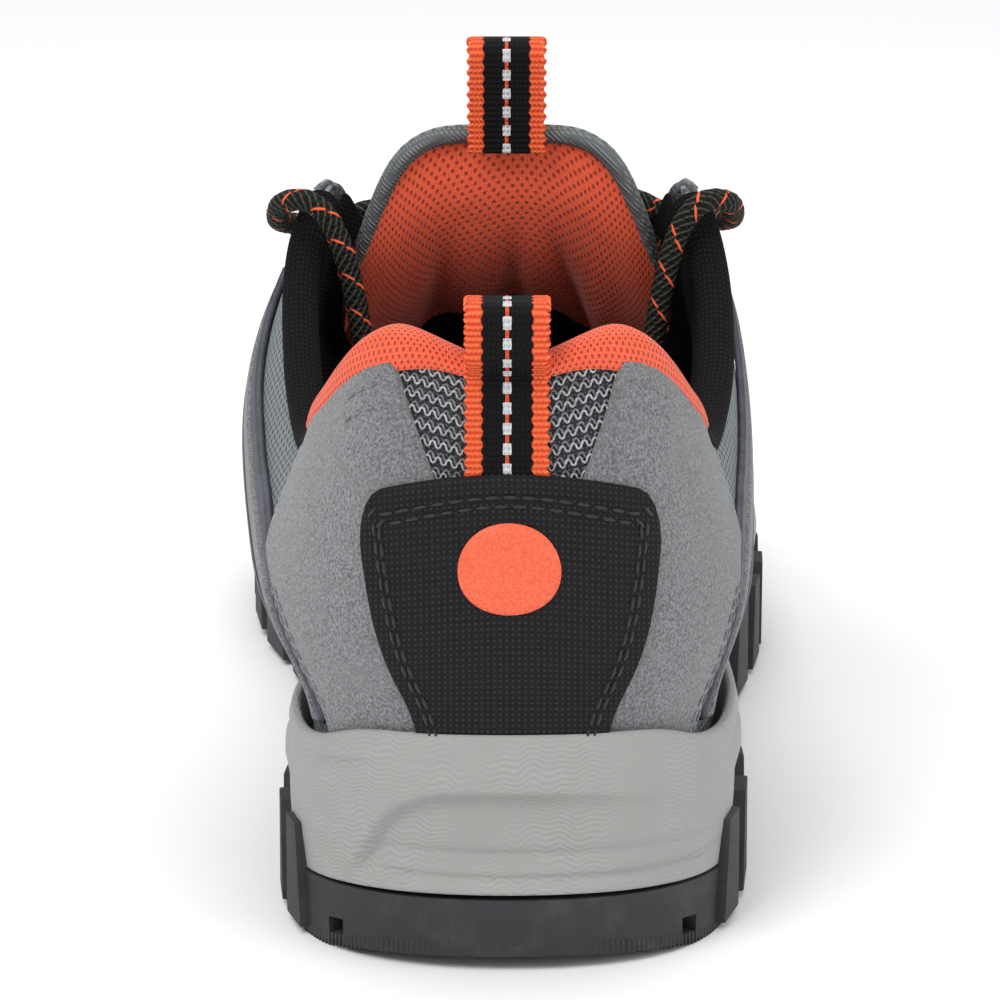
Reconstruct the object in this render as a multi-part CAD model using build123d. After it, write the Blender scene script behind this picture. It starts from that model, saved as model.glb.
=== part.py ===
"""Low-cut hiking shoe, right foot: sole unit, lasted upper, padded collar, tongue, pull loops, lace, footbed.

Millimetres. +Z up, +Y towards the toe, +X towards the outer (lateral) side of the right foot.
The origin is the middle of the shoe's plan box, on the ground.
Stations are distances from the back of the heel towards the toe.
The upper is described by ribs. Rib numbers run from 0 at the back of the heel to 12 at the toe,
positive round the lateral side and negative round the medial side.
Along a rib, height 0 is the bottom edge in the sole and height 1 is the topline or the vamp's ridge.
"""

from build123d import *
import math
import os

# ---------------------------------------------------------------- driving dimensions
SOLE_LENGTH = 295.0
UPPER_INSET = 5.2          # upper's plan outline inside the sole's
RIBS_TO_TOE = 12
CUP_SHARE = 0.12           # part of a rib that stands inside the midsole's cup
BOARD_THICKNESS = 2.0
FOOTBED_THICKNESS = 5.0
LUG_DEPTH = 4.5
HEEL_LUG_RIBS = (2.0, 2.65, 3.3, 3.95)
FORE_LUG_RIBS = (6.7, 7.35, 8.0, 8.65, 9.3, 9.95, 10.6)
SHANK_WIDTH, SHANK_LENGTH = 24.0, 110.0
SHANK_X, SHANK_Y = 1.5, -39.5
LACE_DIAMETER = 4.2
WEBBING_WIDTH = 14.0
WEBBING_THICKNESS = 1.3
CLEARANCE = 0.3            # between parts that move against each other
FIT_GAP = 0.3              # glue and thread between layers that don't move
EYELET_RADIUS = 2.75

# Layers of the upper as (inner, outer) distances from its base cloth's outer face.
BASE_LAYER = (-1.5, 0.0)
OVERLAY_LAYER = (FIT_GAP, 1.5)
TRIM_LAYER = (1.5 + FIT_GAP, 2.9)
STIFFENER_LAYER = (-2.9, -1.5 - FIT_GAP)
LINING_LAYER = (-4.1, -2.9 - FIT_GAP)

# Plan outline of the sole: rib, sideways, station.
SOLE_OUTLINE = [
    (-12, -10, 295), (-11, -32, 286), (-10, -46, 263), (-9, -50.5, 232), (-8, -47.5, 200),
    (-7, -39, 168), (-6, -34, 135), (-5, -34.5, 100), (-4, -37.5, 68), (-3, -39, 42),
    (-2, -34, 18.5), (-1, -20, 4.5), (0, 0.5, 0), (1, 22, 5), (2, 36, 20.5), (3, 41.5, 48),
    (4, 41, 84), (5, 40, 120), (6, 43, 152), (7, 48.5, 182), (8, 50.5, 208), (9, 46.5, 240),
    (10, 34, 268), (11, 14, 288), (12, -10, 295),
]
# Heights along the shoe: station, height.
GROUND = [(0, 4.0), (12, 1.2), (26, 0.0), (70, 0.0), (205, 0.0), (240, 2.6), (268, 8.5), (295, 17.0)]
OUTSOLE_TOP = [(0, 13.0), (20, 11.2), (45, 10), (100, 9.5), (200, 9), (235, 11), (265, 17.5), (295, 29)]
CUP_FLOOR = [(0, 27), (60, 26), (120, 22), (180, 17.6), (215, 17.2), (245, 20), (270, 25), (295, 32)]
CUP_EDGE = [
    (0, 41.5), (8, 40.3), (18, 36.8), (32, 35.2), (50, 35), (80, 33.5), (120, 31.5),
    (170, 29.5), (215, 29.5), (245, 33), (270, 38), (295, 43),
]
# Topline of the upper, round the collar and down both edges of the throat: rib, sideways, station, height.
TOPLINE = [
    (-9, 0, 204, 64.5), (-8.6, -11, 198, 66.5), (-8, -16, 186, 71.5), (-7, -22, 163, 84),
    (-6, -27.5, 139, 99), (-5.55, -32, 121.5, 112.5), (-5, -37.5, 107, 103.5), (-4, -37.5, 80, 89),
    (-3, -34, 50, 81.5), (-2, -30.5, 29, 94), (-1, -20, 12.5, 108.5), (0, 0, 8.5, 103.5),
    (1, 20, 12.5, 108.5), (2, 30.5, 29, 94), (3, 34.5, 50, 81.5), (4, 38.5, 81, 88.5),
    (5, 37.5, 107, 103), (5.55, 32, 121.5, 112.5), (6, 27.5, 139, 99), (7, 22, 163, 84),
    (8, 16, 186, 71.5), (8.6, 11, 198, 66.5), (9, 0, 204, 64.5),
]
# Ridge of the vamp in front of the throat, the same from both sides: rib, sideways, station, height.
RIDGE = [
    (9, 0, 204, 64.5), (9.5, -1.5, 217, 63.5), (10, -3, 231, 62), (11, -5.5, 247, 60),
    (12, -6.5, 255, 58.5),
]
# The widest part of each rib: rib, share of the way to the topline, bulge, height, rise at the topline.
SWELL = [
    (-12, 0.28, 3, 51.5, 0), (-11, 0.30, 3.5, 51, 0), (-10, 0.34, 4, 50, 0), (-9, 0.38, 4.5, 49.5, 1),
    (-8, 0.42, 5.5, 50, 6), (-7, 0.36, 8, 54, 14), (-6, 0.28, 11.5, 59, 24), (-5.55, 0.25, 14.5, 64, 32),
    (-5, 0.25, 15, 67, 30), (-4, 0.28, 11, 62, 24), (-3, 0.30, 7.5, 57, 20), (-2, 0.30, 4.4, 59, 28),
    (-1, 0.30, 3.2, 62, 32), (0, 0.30, 3.2, 63, 30), (1, 0.30, 3.2, 62, 32), (2, 0.30, 3.4, 59, 28),
    (3, 0.30, 5, 56, 20), (4, 0.28, 6.2, 59, 24), (5, 0.25, 8, 62, 30), (5.55, 0.28, 8, 61, 32),
    (6, 0.30, 7, 58, 24), (7, 0.36, 6, 54, 14), (8, 0.42, 5, 50, 6), (9, 0.38, 4, 49.5, 1),
    (10, 0.34, 4, 50, 0), (11, 0.30, 3.5, 51, 0), (12, 0.28, 3, 51.5, 0),
]
# Line from the back of the sole up to the top of the throat: rib, height.
DIAGONAL = [(1.7, 37.5), (2.8, 47), (3.65, 59), (4.4, 69), (4.95, 85), (5.4, 100)]
# Middle of the tongue's front face, from its sewn end to its tip: share, station, height.
TONGUE_LINE = [
    (0, 213, 50), (0.2, 191, 62), (0.4, 169, 75), (0.6, 148, 89), (0.8, 129.5, 104.5),
    (1, 117.5, 123.5),
]
# Tongue: share, half width, drop of its edges, how far the edges sit back, thickness.
TONGUE_SIZE = [
    (0, 14, 3, 1, 2.4), (0.2, 20, 5, 1.5, 4), (0.4, 24.5, 7, 2, 6.5), (0.6, 27.5, 10.5, 2.5, 8),
    (0.8, 29.5, 13.5, 3, 8), (1, 29, 16, 3.5, 6),
]
HEEL_LOOP = (7.5, 111.2)           # station, height of the heel loop's middle
TONGUE_LOOP = (113.5, 132.4)       # station, height of the tongue loop's middle
HEEL_LOOP_HALF = (4.6, 3.7)        # half of each loop's depth and height
TONGUE_LOOP_HALF = (3.6, 6.4)
EYELET_RIB, EYELET_HEIGHT = 5.86, 0.92
# Route of the lace's middle: sideways, station, height.
# Each half starts at its lowest loop and ends in a top hole.
LACE_BOTTOM = (0, 199, 73)
LACE_FROM_LATERAL = [
    (19.5, 195.5, 74.3), (21.5, 189, 77), (-1.5, 184, 71), (-24.5, 180.5, 80.3), (-26.5, 173.5, 83.4),
    (1, 170, 78), (28, 168, 86.5), (30, 160.5, 90), (-1, 155, 89), (-32, 151, 94.6), (-33.2, 144, 98),
    (-24.5, 142.3, 102), (-12, 140.2, 102.6), (3, 138.3, 102), (16, 136, 99.6), (26, 132.2, 94.3),
    (33, 136.9, 98.1),
]
LACE_FROM_MEDIAL = [
    (-20, 195, 74.3), (-22, 188, 77.2), (1, 184, 78.5), (24, 182, 80), (26, 175, 83), (-1, 169.5, 85.3),
    (-28.5, 166, 86), (-30, 159, 89), (0.5, 155, 95.3), (31.5, 153.5, 94), (33, 146.5, 97.8),
    (24.5, 144, 103.2), (12, 141.8, 107.2), (-1, 139, 107.6), (-14, 135.3, 103.6), (-25.3, 130.6, 95.3),
    (-32.9, 134.3, 97.7),
]
# Free ends: out of the top hole, over the front of the collar and down into the shoe.
LACE_END_LATERAL = [
    (33, 136.9, 98.1), (37.2, 138.5, 100), (40.8, 131.5, 101.8), (42, 121.5, 104.6), (41, 112, 109.8),
    (35, 106, 111.2), (30.8, 104, 105.5), (28.3, 102, 96), (26.5, 100, 85), (24.6, 97, 70), (22.2, 92, 54),
    (21, 85, 43.5), (21.5, 74, 37.5), (22.5, 62, 36.6), (24, 50, 36.9), (24, 38.5, 37.3), (15.8, 30.3, 37.6),
    (4.2, 30.3, 37.6), (-4, 38.5, 37.3), (-4.5, 50, 36.9), (-2.5, 62, 36.6), (-1, 74, 36.1), (-1.5, 86, 35.4),
    (-3, 97, 34.7),
]
LACE_END_MEDIAL = [
    (-32.9, 134.3, 97.7), (-37.3, 136, 99.8), (-41, 129, 101.8), (-42.4, 119.5, 104.6), (-41.2, 111.3, 109.8),
    (-35, 106.3, 111.2), (-30.6, 104.4, 105.5), (-27.9, 103.2, 96), (-26, 102.4, 85), (-24, 102.2, 70),
    (-21.5, 104, 55), (-20, 110.5, 44.5), (-17.5, 121, 36.3), (-16, 133.5, 32.3), (-14.5, 147, 30.7),
    (-15.5, 160, 29.8), (-18.5, 173, 29), (-21, 186, 28.5), (-20.5, 199, 28.3), (-17, 211, 28.4),
    (-12, 222, 28.8), (-8, 233, 29.6),
]
AGLET_ENDS = ((-1.5, 118, 33.3), (-1.5, 251, 32))
AGLET_DIAMETER = 3.2


# ---------------------------------------------------------------- curves through the tables above
def through(rows, place):
    """Values at a place on the smooth curve through rows of (place, value, ...)."""
    place = min(max(place, rows[0][0]), rows[-1][0])
    i = max(j for j in range(len(rows) - 1) if rows[j][0] <= place)
    a, b = rows[i], rows[i + 1]
    before, after = rows[max(i - 1, 0)], rows[min(i + 2, len(rows) - 1)]
    span = b[0] - a[0]
    t = (place - a[0]) / span
    values = []
    for n in range(1, len(a)):
        slope_a = (b[n] - before[n]) / (b[0] - before[0]) * span
        slope_b = (after[n] - a[n]) / (after[0] - a[0]) * span
        values.append(
            (2 * t**3 - 3 * t**2 + 1) * a[n] + (t**3 - 2 * t**2 + t) * slope_a
            + (3 * t**2 - 2 * t**3) * b[n] + (t**3 - t**2) * slope_b
        )
    return values if len(values) > 1 else values[0]


def wrapped(rib):
    """The same rib numbered from -12 to 12."""
    return (rib + RIBS_TO_TOE) % (2 * RIBS_TO_TOE) - RIBS_TO_TOE


CLOSED_OUTLINE = (
    [(k - 24, x, s) for k, x, s in SOLE_OUTLINE[-3:-1]] + SOLE_OUTLINE
    + [(k + 24, x, s) for k, x, s in SOLE_OUTLINE[1:3]]
)


def outline_point(rib, inset=0.0):
    """Plan point (sideways, station) on the sole's outline moved inwards, and the outward direction."""
    rib = wrapped(rib)
    x0, s0 = through(CLOSED_OUTLINE, rib - 0.05)
    x1, s1 = through(CLOSED_OUTLINE, rib + 0.05)
    x, s = through(CLOSED_OUTLINE, rib)
    along = math.hypot(x1 - x0, s1 - s0)
    out = ((s1 - s0) / along, -(x1 - x0) / along)
    return (x - out[0] * inset, s - out[1] * inset), out


def topline_point(rib):
    """The rib's upper end: (sideways, station, height)."""
    return through(RIDGE, abs(rib)) if abs(rib) >= 9 else through(TOPLINE, rib)


def hermite(a, b, slope_a, slope_b, t):
    """Point between a and b on the cubic with those end slopes."""
    return [
        (2 * t**3 - 3 * t**2 + 1) * p + (t**3 - 2 * t**2 + t) * u
        + (3 * t**2 - 2 * t**3) * q + (t**3 - t**2) * w
        for p, q, u, w in zip(a, b, slope_a, slope_b)
    ]


def rib_point(rib, height):
    """Point (sideways, station, height) on the base cloth's outer face."""
    rib = wrapped(rib)
    (x, s), out = outline_point(rib, UPPER_INSET)
    floor = through(CUP_FLOOR, s)
    edge = through(CUP_EDGE, s)
    if height < CUP_SHARE:
        return [x, s, floor + (edge - floor) * height / CUP_SHARE]
    top = topline_point(rib)
    share, bulge, swell_z, rise = through(SWELL, rib)
    low = [x, s, edge]
    mid = [x + (top[0] - x) * share + out[0] * bulge, s + (top[1] - s) * share + out[1] * bulge, swell_z]
    at_low = [0, 0, 1.2 * (mid[2] - edge)]
    at_mid = [0.5 * (t - b) for t, b in zip(top, low)]
    at_top = [top[0] - mid[0], top[1] - mid[1], rise]
    t = (height - CUP_SHARE) / (1 - CUP_SHARE) * 2
    return hermite(low, mid, at_low, at_mid, t) if t < 1 else hermite(mid, top, at_mid, at_top, t - 1)


def form_point(rib, height, offset=0.0):
    """Row-frame point at a distance outside (or, negative, inside) the base cloth's outer face."""
    step = 0.02
    a, b = rib_point(rib - step, height), rib_point(rib + step, height)
    low, high = max(height - step, 0), min(height + step, 1)
    c, d = rib_point(rib, low), rib_point(rib, high)
    normal = (Vector(*b) - Vector(*a)).cross(Vector(*d) - Vector(*c)).normalized()
    x, s, z = rib_point(rib, height)
    return Vector(x, s - SOLE_LENGTH / 2, z) + normal * offset


# ---------------------------------------------------------------- building blocks
def solid_between(outer_grid, inner_grid):
    """Closed solid between two grids of points of the same size."""
    outer = Face.make_surface_from_array_of_points(outer_grid, tol=0.05)
    inner = Face.make_surface_from_array_of_points(inner_grid, tol=0.05)
    faces = [outer, inner]
    for edge in outer.edges():
        middle = edge.position_at(0.5)
        partner = min(inner.edges(), key=lambda other: (other.position_at(0.5) - middle).length)
        faces.append(Face.make_surface_from_curves(edge, partner))
    solid = Solid(Shell(faces))
    return solid if solid.volume > 0 else Solid(Shell([-face for face in faces]))


def value_at(limit, *place):
    """A number, or a function's value at a place."""
    return limit(*place) if callable(limit) else limit


def panel(first, last, bottom, top, layer, rows=14, columns_per_rib=5):
    """Piece of the upper between two ribs and two heights.

    first and last may follow the share of the height, bottom and top the rib, and layer both.
    """
    span = abs(value_at(last, 1) - value_at(first, 1))
    columns = max(8, round(span * columns_per_rib))
    grids = []
    for side in (1, 0):
        grid = []
        for j in range(rows + 1):
            share = j / rows
            start, end = value_at(first, share), value_at(last, share)
            line = []
            for i in range(columns + 1):
                rib = start + (end - start) * i / columns
                low, high = value_at(bottom, rib), value_at(top, rib)
                depths = value_at(layer, rib, share)
                line.append(form_point(rib, low + (high - low) * share, depths[side]))
            grid.append(line)
        grids.append(grid)
    return solid_between(*grids)


def height_at(rib, z):
    """Height along a rib where it reaches that height above the ground."""
    low, high = CUP_SHARE, 1.0
    for _ in range(30):
        middle = (low + high) / 2
        low, high = (middle, high) if rib_point(rib, middle)[2] < z else (low, middle)
    return low


def plan_face(inset, z):
    """Face of the sole's plan outline at a height, moved inwards by inset."""
    points = []
    for n in range(36):
        (x, s), _ = outline_point(-12 + n * 2 / 3, inset)
        points.append((x, s - SOLE_LENGTH / 2, z))
    return make_face(Spline(*points, periodic=True))


def side_band(lower, upper, lift_lower=0.0, lift_upper=0.0):
    """Wide solid between two height tables, seen from the side."""
    stations = [-6 + (SOLE_LENGTH + 12) * n / 15 for n in range(16)]

    def curve(table, lift):
        return [(0, s - SOLE_LENGTH / 2, through(table, s) + lift) for s in stations]

    low, high = curve(lower, lift_lower), curve(upper, lift_upper)
    profile = make_face(Spline(*low) + Line(low[-1], high[-1]) + Spline(*high) + Line(high[0], low[0]))
    return extrude(profile, amount=80, dir=(1, 0, 0), both=True)


def webbing_loop(middle, half_size, radius):
    """Strap that climbs, turns over and comes down again; both its ends are at the bottom."""
    corners = [(-1, -1), (-1, 1), (1, 1), (1, -1)]
    path = [row_point((0, middle[0] + s * half_size[0], middle[1] + z * half_size[1])) for s, z in corners]
    line = FilletPolyline(*path, radius=radius)
    start = Plane(origin=line @ 0, z_dir=line % 0, x_dir=(1, 0, 0))
    return sweep(start * Rectangle(WEBBING_WIDTH, WEBBING_THICKNESS), path=line)


def cord(points, diameter, name):
    """Round cord along straight runs with the largest tangent arcs they allow."""
    path = [row_point(point) for point in points]
    radii = []
    for a, b, c in zip(path, path[1:], path[2:]):
        turn = math.radians((b - a).get_angle(c - b))
        radii.append(0.45 * min((b - a).length, (c - b).length) / math.tan(turn / 2))
    line = FilletPolyline(*path, radius=radii)
    start = Plane(origin=line @ 0, z_dir=line % 0)
    tube = sweep(start * Circle(diameter / 2), path=line)
    print(name, "length", round(line.length, 1), "smallest bend", round(min(radii), 1))
    return tube


# ---------------------------------------------------------------- sole unit
def lug(points):
    """Plan of a tread block."""
    return make_face(Polyline(*[(x, s - SOLE_LENGTH / 2) for x, s in points], close=True))


def perimeter_lug(rib, half_ribs, inner):
    """Plan of a block along the sole's edge, reaching past it and narrowing inwards."""
    narrow = 0.7 * half_ribs
    corners = [(-half_ribs, -4), (0, -4), (half_ribs, -4), (narrow, inner), (-narrow, inner)]
    return lug([outline_point(rib + along, inset)[0] for along, inset in corners])


def chevron(station, half_width, middle, tip, arm):
    """Plan of a V-shaped block across the tread."""
    left, right = middle - half_width, middle + half_width
    return lug([
        (left, station), (middle, station + tip), (right, station),
        (right, station + arm), (middle, station + tip + arm), (left, station + arm),
    ])


def edge_lug(first, last, inner):
    """Plan of a long curved block along the heel's or the toe's edge."""
    outer = [outline_point(first + (last - first) * n / 4, -5)[0] for n in range(5)]
    inside = [outline_point(last + (first - last) * n / 4, inner)[0] for n in range(5)]
    return lug(outer + inside)


def make_outsole():
    lugs = [perimeter_lug(side * rib, 0.27, 13) for rib in HEEL_LUG_RIBS for side in (-1, 1)]
    lugs += [perimeter_lug(side * rib, 0.27, 14) for rib in FORE_LUG_RIBS for side in (-1, 1)]
    lugs += [chevron(station, 13, -0.5, -9, -7) for station in (46, 64, 82)]
    lugs += [chevron(station, 17, -0.5, 9, 7) for station in (168, 186, 204, 222, 240)]
    lugs += [edge_lug(-1.55, 1.55, 12), edge_lug(11.2, 12.8, 12)]
    plan = Rectangle(140, SOLE_LENGTH + 40) - lugs
    channels = extrude(Pos(0, 0, -10) * plan, amount=60) & side_band(GROUND, GROUND, -6, LUG_DEPTH)
    body = extrude(plan_face(0.8, -2), amount=60) & side_band(GROUND, OUTSOLE_TOP)
    above_ground = Pos(0, 0, 100) * Box(200, 2 * SOLE_LENGTH, 200)
    return (body - channels) & above_ground


def make_midsole():
    body = loft([plan_face(1.6, 4), plan_face(0.2, 20), plan_face(0.6, 34), plan_face(1.6, 48)])
    body &= side_band(OUTSOLE_TOP, CUP_EDGE, FIT_GAP)
    cup = extrude(plan_face(UPPER_INSET - OVERLAY_LAYER[1] - 0.5, 10), amount=50)
    cup &= side_band(CUP_FLOOR, CUP_EDGE, 0.0, 20)
    slot = extrude(Pos(SHANK_X, SHANK_Y, 5) * Rectangle(SHANK_WIDTH + 0.8, SHANK_LENGTH + 0.8), amount=40)
    slot &= side_band(CUP_FLOOR, CUP_FLOOR, -2.4, 1)
    return body - cup - slot


def make_shank():
    blank = extrude(Pos(SHANK_X, SHANK_Y, 5) * Rectangle(SHANK_WIDTH, SHANK_LENGTH), amount=40)
    blank &= side_band(CUP_FLOOR, CUP_FLOOR, -2.0, -0.3)
    ridges = [Pos(SHANK_X + side * 6, SHANK_Y, 20) * Box(1.6, SHANK_LENGTH - 16, 40) for side in (-1, 0, 1)]
    return blank - [ridge & side_band(CUP_FLOOR, CUP_FLOOR, -1.0, 1) for ridge in ridges]


def make_board():
    blank = extrude(plan_face(UPPER_INSET - BASE_LAYER[0] + 0.8, 5), amount=60)
    return blank & side_band(CUP_FLOOR, CUP_FLOOR, 0.3, BOARD_THICKNESS)


def make_footbed():
    """Foam footbed and the cloth glued on it."""
    inset = UPPER_INSET - LINING_LAYER[0] + 0.9
    lower = BOARD_THICKNESS + CLEARANCE
    top = lower + FOOTBED_THICKNESS
    foam = extrude(plan_face(inset, 5), amount=60) & side_band(CUP_FLOOR, CUP_FLOOR, lower, top)
    cloth = extrude(plan_face(inset + 0.3, 5), amount=60)
    cloth &= side_band(CUP_FLOOR, CUP_FLOOR, top + 0.1, top + 1.0)
    return foam, cloth


# ---------------------------------------------------------------- upper
def diagonal(rib, drop=0.0):
    """Height along the rib of the line that climbs from the back of the sole to the top of the throat."""
    return max(CUP_SHARE + 0.02, height_at(rib, through(DIAGONAL, abs(rib)) - drop))


def below_diagonal(far, near):
    """Lower and upper limits of a strip that runs under the diagonal, by its distances below it."""
    return (lambda rib: diagonal(rib, far)), (lambda rib: diagonal(rib, near))


def heel_overlay_top(rib):
    """Upper edge of the heel's suede: low in the middle, then up to the collar."""
    return through([(0, 0.69), (0.45, 0.74), (0.75, 0.86), (1.0, 0.985), (3.7, 0.985)], abs(rib))


def heel_overlay_front(side):
    """Front edge of the heel's suede: out along the diagonal, then back up to the collar's lowest point."""
    return lambda share: side * through([(0, 1.75), (0.3, 2.7), (0.55, 3.55), (0.65, 3.6), (1.0, 2.9)], share)


def pad_thickness(rib, share):
    """Padding that swells below a rolled top edge and thins towards the throat."""
    fullness = through([(0, 9.5), (2, 9), (3.4, 7.5), (4.4, 5), (5.2, 3.2)], abs(rib))
    return max(1.9, fullness * max(0.22, math.sin(math.pi * min(1.0, 0.2 + 0.78 * share)) ** 0.8))


def foam_layer(rib, share):
    return LINING_LAYER[1] + 1.35 - pad_thickness(rib, share), LINING_LAYER[1]


def collar_lining_layer(rib, share):
    outer = LINING_LAYER[1] + 1.05 - pad_thickness(rib, share)
    return outer - 1.0, outer


def pierced(piece, side):
    """The piece with the hole for the lace at the top of the throat."""
    return piece - Cylinder(EYELET_RADIUS + 0.9, 24).moved(eyelet_place(side).location)


def eyelet_place(side):
    """Plane on the cloth at the top hole, facing out."""
    centre = form_point(side * EYELET_RIB, EYELET_HEIGHT)
    return Plane(origin=centre, z_dir=form_point(side * EYELET_RIB, EYELET_HEIGHT, 1) - centre)


def make_heel_pieces():
    return {
        "heel_mesh_panel": panel(-1.6, 1.6, 0.02, 0.99, BASE_LAYER, 20, 9),
        "heel_counter": panel(-3.3, 3.3, 0.05, 0.56, STIFFENER_LAYER, 10, 8),
        "heel_patch": panel(
            lambda share: -0.8 - 0.4 * share, lambda share: 0.8 + 0.4 * share,
            0.14, lambda rib: height_at(rib, 86.0 - 1.2 * rib**2), TRIM_LAYER, 12, 9,
        ),
        "heel_badge": make_badge(),
        "collar_lining_heel": panel(-2.35, 2.35, 0.62, 0.985, collar_lining_layer, 16, 8),
        "collar_foam": panel(-5.0, 5.0, 0.64, 0.955, foam_layer, 16, 6),
        "heel_lining": panel(-2.4, 2.4, 0.14, 0.6, LINING_LAYER, 12, 8),
    }


def make_side_pieces(name, side):
    """Pieces of the upper that have a twin on the other side."""
    def piece(first, last, *rest):
        limits = [limit if callable(limit) else side * limit for limit in (first, last)]
        return panel(*limits[::side], *rest)

    pieces = {
        "heel_overlay": piece(0.02, heel_overlay_front(side), 0.05, heel_overlay_top, OVERLAY_LAYER, 16, 8),
        "quarter_mesh": piece(1.66, 5.48, 0.02, 0.99, BASE_LAYER, 20),
        "quarter_lining": piece(2.46, 5.3, 0.14, 0.6, LINING_LAYER, 12),
        "collar_lining": piece(2.43, 5.1, 0.62, 0.985, collar_lining_layer, 16),
        "diagonal_strip": piece(3.72, 5.32, *below_diagonal(3.6, 0.3), OVERLAY_LAYER, 4),
        "diagonal_suede": piece(2.3, 5.32, *below_diagonal(8.0, 4.2), OVERLAY_LAYER, 4),
        "diagonal_band": piece(2.75, 5.32, *below_diagonal(12.6, 8.6), OVERLAY_LAYER, 4),
        "midfoot_overlay": piece(4.4, 7.6, 0.06, lambda rib: 0.3 + 0.03 * (abs(rib) - 4.4), OVERLAY_LAYER, 8),
        "eyestay": pierced(piece(5.45, 8.75, 0.81, 0.985, OVERLAY_LAYER, 6), side),
        "vamp_lining": pierced(piece(5.4, 8.87, 0.14, 0.97, LINING_LAYER, 20), side),
    }
    return {f"{part}_{name}": solid for part, solid in pieces.items()}


def make_front_pieces():
    mesh, lining = [], []
    for side in (1, -1):
        mesh.append(pierced(panel(*sorted((side * 5.56, side * 8.88)), 0.02, 0.985, BASE_LAYER, 20), side))
        mesh.append(panel(*sorted((side * 8.93, side * 11.97)), 0.02, 0.985, BASE_LAYER, 20))
        lining.append(panel(*sorted((side * 8.95, side * 11.93)), 0.14, 0.955, LINING_LAYER, 16))
    return {
        "vamp_mesh": Compound(mesh),
        "toe_lining": Compound(lining),
        "toe_puff": panel(10.1, 13.9, 0.05, 0.55, STIFFENER_LAYER, 10, 7),
        "mudguard": panel(7.75, 16.25, 0.06, 0.36, OVERLAY_LAYER, 8, 7),
        "toe_bumper": panel(10.1, 13.9, 0.15, 0.5, TRIM_LAYER, 8, 7),
    }


def make_badge():
    """Thin round badge on the heel patch."""
    centre = form_point(0, height_at(0, 70), TRIM_LAYER[1])
    disc = extrude(Plane(centre + Vector(0, -6, 0), z_dir=(0, -1, 0)) * Circle(8.2), amount=-12)
    return disc & panel(-0.9, 0.9, 0.25, 0.72, (TRIM_LAYER[1] + 0.1, TRIM_LAYER[1] + 0.6), 12, 9)


# ---------------------------------------------------------------- tongue
def tongue_point(across, share, depth):
    """Point of the tongue: across from -1 to 1, share up to the tip, depth behind its front."""
    share = min(max(share, 0.0), 1.0)
    station, z = through(TONGUE_LINE, share)
    s0, z0 = through(TONGUE_LINE, max(share - 0.01, 0))
    s1, z1 = through(TONGUE_LINE, min(share + 0.01, 1))
    length = math.hypot(s1 - s0, z1 - z0)
    half, drop, back, _ = through(TONGUE_SIZE, share)
    curve = abs(across) ** 2.2
    angle = math.radians(40) * across * abs(across)
    inwards = depth * math.cos(angle)
    return Vector(
        half * across - depth * math.sin(angle),
        station - back * curve - inwards * (z1 - z0) / length - SOLE_LENGTH / 2,
        z - drop * curve + inwards * (s1 - s0) / length,
    )


def tongue_layer(first, last, front, rear, half=1.0):
    """Sheet of the tongue between two shares of its thickness."""
    grids = []
    for level in (front, rear):
        grid = []
        for j in range(13):
            share = first + (last - first) * j / 12
            thick = through(TONGUE_SIZE, share)[3]
            grid.append([tongue_point(half * (i / 8 - 1), share, thick * level) for i in range(17)])
        grids.append(grid)
    return solid_between(*grids)


def make_tongue():
    keeper_place = tongue_point(0, 0.55, -0.25)
    keeper = Plane(keeper_place, z_dir=tongue_point(0, 0.55, -1) - keeper_place, x_dir=(1, 0, 0))
    return {
        "tongue_face": tongue_layer(0.03, 0.99, 0.0, 0.16),
        "tongue_foam": tongue_layer(0.05, 0.965, 0.2, 0.8, 0.94),
        "tongue_lining": tongue_layer(0.04, 0.985, 0.84, 1.0, 0.98),
        "tongue_lace_keeper": extrude(keeper * RectangleRounded(22, 7, 1.5), amount=0.7),
    }


# ---------------------------------------------------------------- pull loops
def make_pull_loops():
    strap_layer = (OVERLAY_LAYER[0], OVERLAY_LAYER[0] + WEBBING_THICKNESS)
    return {
        "heel_pull_strap": panel(-0.35, 0.35, 0.77, 0.985, strap_layer, 8, 16),
        "heel_pull_loop": webbing_loop(HEEL_LOOP, HEEL_LOOP_HALF, 3.0),
        "tongue_pull_loop": webbing_loop(TONGUE_LOOP, TONGUE_LOOP_HALF, 2.6),
    }


# ---------------------------------------------------------------- lace and its holders
def throat_rib(station, side):
    """Rib whose upper end is at a station on the throat's edge."""
    low, high = 5.56, 9.0
    for _ in range(30):
        middle = (low + high) / 2
        low, high = (low, middle) if topline_point(side * middle)[1] > station else (middle, high)
    return side * low


def throat_place(station, side, offset):
    """Point over the eyestay beside the throat's edge."""
    return form_point(throat_rib(station, side), 0.93, OVERLAY_LAYER[1] + offset)


def make_lace_holders(name, side, passes):
    loops = []
    for start, end in passes:
        centre = (row_point(start) + row_point(end)) / 2
        station = (start[1] + end[1]) / 2
        outwards = throat_place(station, side, 1) - throat_place(station, side, 0)
        frame = Plane(origin=centre, z_dir=row_point(end) - row_point(start), x_dir=outwards)
        ring = RectangleRounded(8.0, 8.4, 2.6) - Circle(LACE_DIAMETER / 2 + 0.85)
        loops.append(extrude(frame * ring, amount=2.0, both=True))
    washer = Cylinder(EYELET_RADIUS + 2.2, 0.7) - Cylinder(EYELET_RADIUS, 0.7)
    eyelet = (Pos(0, 0, OVERLAY_LAYER[1] + 0.7) * washer).moved(eyelet_place(side).location)
    return {f"lace_loops_{name}": Compound(loops), f"eyelet_{name}": eyelet}


def row_point(point):
    """A (sideways, station, height) point as a vector."""
    return Vector(point[0], point[1] - SOLE_LENGTH / 2, point[2])


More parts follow.
